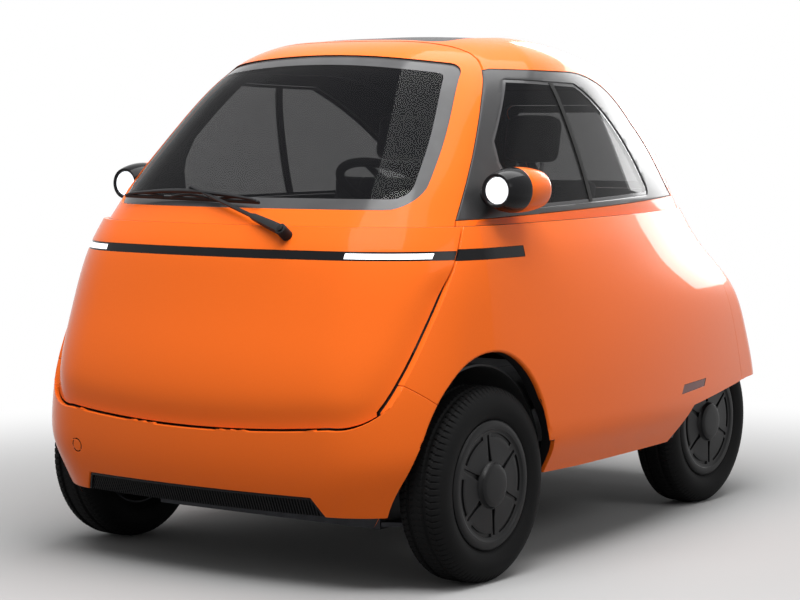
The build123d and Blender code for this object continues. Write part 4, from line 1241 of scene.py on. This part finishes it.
bench = padded("seat_base", "seat_cushion", 8, 9, 14)
rest = padded("seat_back", "seat_rest", 8.6, 9, 14)
heads = padded("headrests", "headrest_pads", 6, 5, 9)
for pad in (bench, rest):
    seam(pad, lambda p: p[:, 0], 9, 7)
    for middle in (-245, 245):
        for side in (-128, 128):
            seam(pad, lambda p: p[:, 0] - middle - side, 4)
seam(bench, lambda p: np.where(p[:, 2] > 470, p[:, 1] + 415, 99), 4)
seam(rest, lambda p: np.where(p[:, 1] < p[:, 2] * 0.22 - 140, p[:, 2] - 960, 99), 4)
seam(heads, lambda p: np.abs(np.abs(p[:, 0]) - 245) - 84, 2.5, 3)
for pad, node in ((bench, "seat_base"), (rest, "seat_back"), (heads, "headrests")):
    shade(pad, 60)
    place(pad, node)

# %% [markdown]
# ## Steering wheel and dashboard
# The wheel has a black rubber rim, three spokes and a plain boss. The dashboard is a slim beam, and it opens
# with the door.

# %% Steering wheel
centre = Matrix.Translation(Vector((250, -640, 1050)) * MM) @ Matrix.Rotation(math.radians(-30), 4, "X") \
    @ Matrix.Rotation(math.radians(-90), 4, "Y")
rim = turned("steering_rim", [(13 * math.cos(t), 160 + 13 * math.sin(t)) for t in np.linspace(0, 2 * math.pi, 25)[:-1]],
             RUBBER, 96)
boss = turned("steering_boss", [(-30, 0.01), (-30, 34), (-10, 44), (4, 50), (9, 46), (11, 36), (11.5, 0.01)], GRAINED, 64)
spokes = [bar("spoke", [Vector((0, 30 * u, 30 * v)), Vector((0, 100 * u, 100 * v)), Vector((0, 156 * u, 156 * v))],
              [(40, 12), (26, 9), (22, 8)], SATIN, up=(1, 0, 0)) for u, v in ((1, 0), (-1, 0), (0, -1))]
for spoke in spokes:
    soft_edges(spoke, 3, 3, 40)
wheel_piece = joined("steering_wheel_rim", [rim, boss] + spokes)
wheel_piece.data.transform(centre)
shade(wheel_piece, 35)
place(wheel_piece, "steering_wheel")

# %% Dashboard
beam = copy_of(nodes["dash_beam"], "dashboard")
edit(beam, (bpy.ops.mesh.remove_doubles, {"threshold": 0.00001}),
     (bpy.ops.mesh.dissolve_limited, {"angle_limit": 0.02}))
soft_edges(beam, 6, 3, 40)
beam.data.materials.clear()
beam.data.materials.append(GRAINED)
shade(beam, 35)
place(beam, "dash_beam")

# %% [markdown]
# ## Stage, light and camera
# The car stands on a plain pale floor that fades to white. A broad light hangs above it, with softer ones
# behind and at the side, and the camera looks from the front left at about a person's height.

# %% Finishes of the CAD nodes that stay
KEPT = {
    "door_seal": RUBBER, "hatch_seal": RUBBER, "floor_pan": UNDERBODY, "foot_tub": UNDERBODY,
    "arch_liners": UNDERBODY, "luggage_deck": UNDERBODY, "front_beam": CHASSIS, "front_arms": CHASSIS,
    "knuckle_left": CHASSIS, "knuckle_right": CHASSIS, "rear_arms": CHASSIS, "dampers": CHASSIS,
    "steering_column": CHASSIS, "drive_unit": CAST, "battery_pack": CAST, "headrest_posts": CHROME,
}
for name, material in KEPT.items():
    nodes[name].data.materials.clear()
    nodes[name].data.materials.append(material)

# %% Floor and world
for tool in [o for o in bpy.data.objects if o.type == "MESH" and "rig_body" not in o]:
    bpy.data.objects.remove(tool)


def seen_directly(tree):
    """1 for rays from the camera and for those that a shiny or clear surface sends on, else 0."""
    path = tree.nodes.new("ShaderNodeLightPath")
    total = path.outputs["Is Camera Ray"]
    for kind in ("Is Glossy Ray", "Is Transmission Ray"):
        more = tree.nodes.new("ShaderNodeMath")
        more.operation = "MAXIMUM"
        tree.links.new(total, more.inputs[0])
        tree.links.new(path.outputs[kind], more.inputs[1])
        total = more.outputs[0]
    return total


bpy.ops.mesh.primitive_plane_add(size=60)
floor = bpy.context.active_object
floor.name = "floor"
ground = Finish("pale floor", (0.38, 0.38, 0.38), 0.9, Specular_IOR_Level=0.02)
pale = ground.spread(seen_directly(ground.tree), 0.28, 0.38)
ground.link(ground.times(pale, ground.spread(ground.noise(0.6, 2), 0.99, 1.01)), ground.shader.inputs["Base Color"])
length = ground.node("VectorMath", operation="LENGTH")
ground.link(ground.place, length.inputs[0])
fade = ground.node("MapRange", interpolation_type="SMOOTHSTEP")
fade.inputs["From Min"].default_value, fade.inputs["From Max"].default_value = 1.25, 3.4
ground.link(length.outputs["Value"], fade.inputs["Value"])
white = ground.node("Emission")
mix = ground.node("MixShader")
ground.link(ground.times(fade.outputs["Result"], seen_directly(ground.tree)), mix.inputs["Fac"])
ground.link(ground.shader.outputs["BSDF"], mix.inputs[1])
ground.link(white.outputs["Emission"], mix.inputs[2])
ground.link(mix.outputs["Shader"], ground.tree.nodes["Material Output"].inputs["Surface"])
floor.data.materials.append(ground.material)

world = bpy.data.worlds.new("studio")
bpy.context.scene.world = world
world.use_nodes = True
tree = world.node_tree
background = tree.nodes["Background"]
background.inputs["Color"].default_value = (1, 1, 1, 1)
level = tree.nodes.new("ShaderNodeMapRange")
level.inputs["To Min"].default_value = 0.38
level.inputs["To Max"].default_value = 1.0
tree.links.new(seen_directly(tree), level.inputs["Value"])
tree.links.new(level.outputs["Result"], background.inputs["Strength"])


# %% Lamps and camera
def lamp(name, at, target, width, height, power, lights=True):
    bpy.ops.object.light_add(type="AREA", location=at)
    light = bpy.context.active_object
    light.name = name
    light.data.shape = "RECTANGLE"
    light.data.size, light.data.size_y, light.data.energy = width, height, power
    light.visible_diffuse = lights
    aim = Vector(target) - Vector(at)
    light.rotation_euler = aim.to_track_quat("-Z", "Y").to_euler()


lamp("overhead", (0.7, 0.2, 4.2), (0, 0, 0), 4.5, 3.2, 210)
lamp("hood", (0.9, -2.7, 4.3), (0, -1.0, 0.7), 3.0, 1.6, 150)
lamp("side", (5.0, -0.6, 3.4), (0, -0.2, 0.8), 2.2, 1.6, 44)
lamp("rear reflector", (-1.4, 7, 2.95), (-1.3, 0, 2.9), 4.6, 3.0, 300, lights=False)

bpy.ops.object.camera_add()
camera = bpy.context.active_object
bpy.context.scene.camera = camera
YAW, PITCH = 0.630863, 0.0739775
back = Vector((math.sin(YAW) * math.cos(PITCH), -math.cos(YAW) * math.cos(PITCH), math.sin(PITCH)))
camera.location = (4.19856, -6.01703, 1.23188)
camera.rotation_mode = "QUATERNION"
camera.rotation_quaternion = (-back).to_track_quat("-Z", "Y")
camera.data.sensor_width, camera.data.lens = 36.0, 106.045
bpy.context.scene.view_settings.view_transform = "Standard"
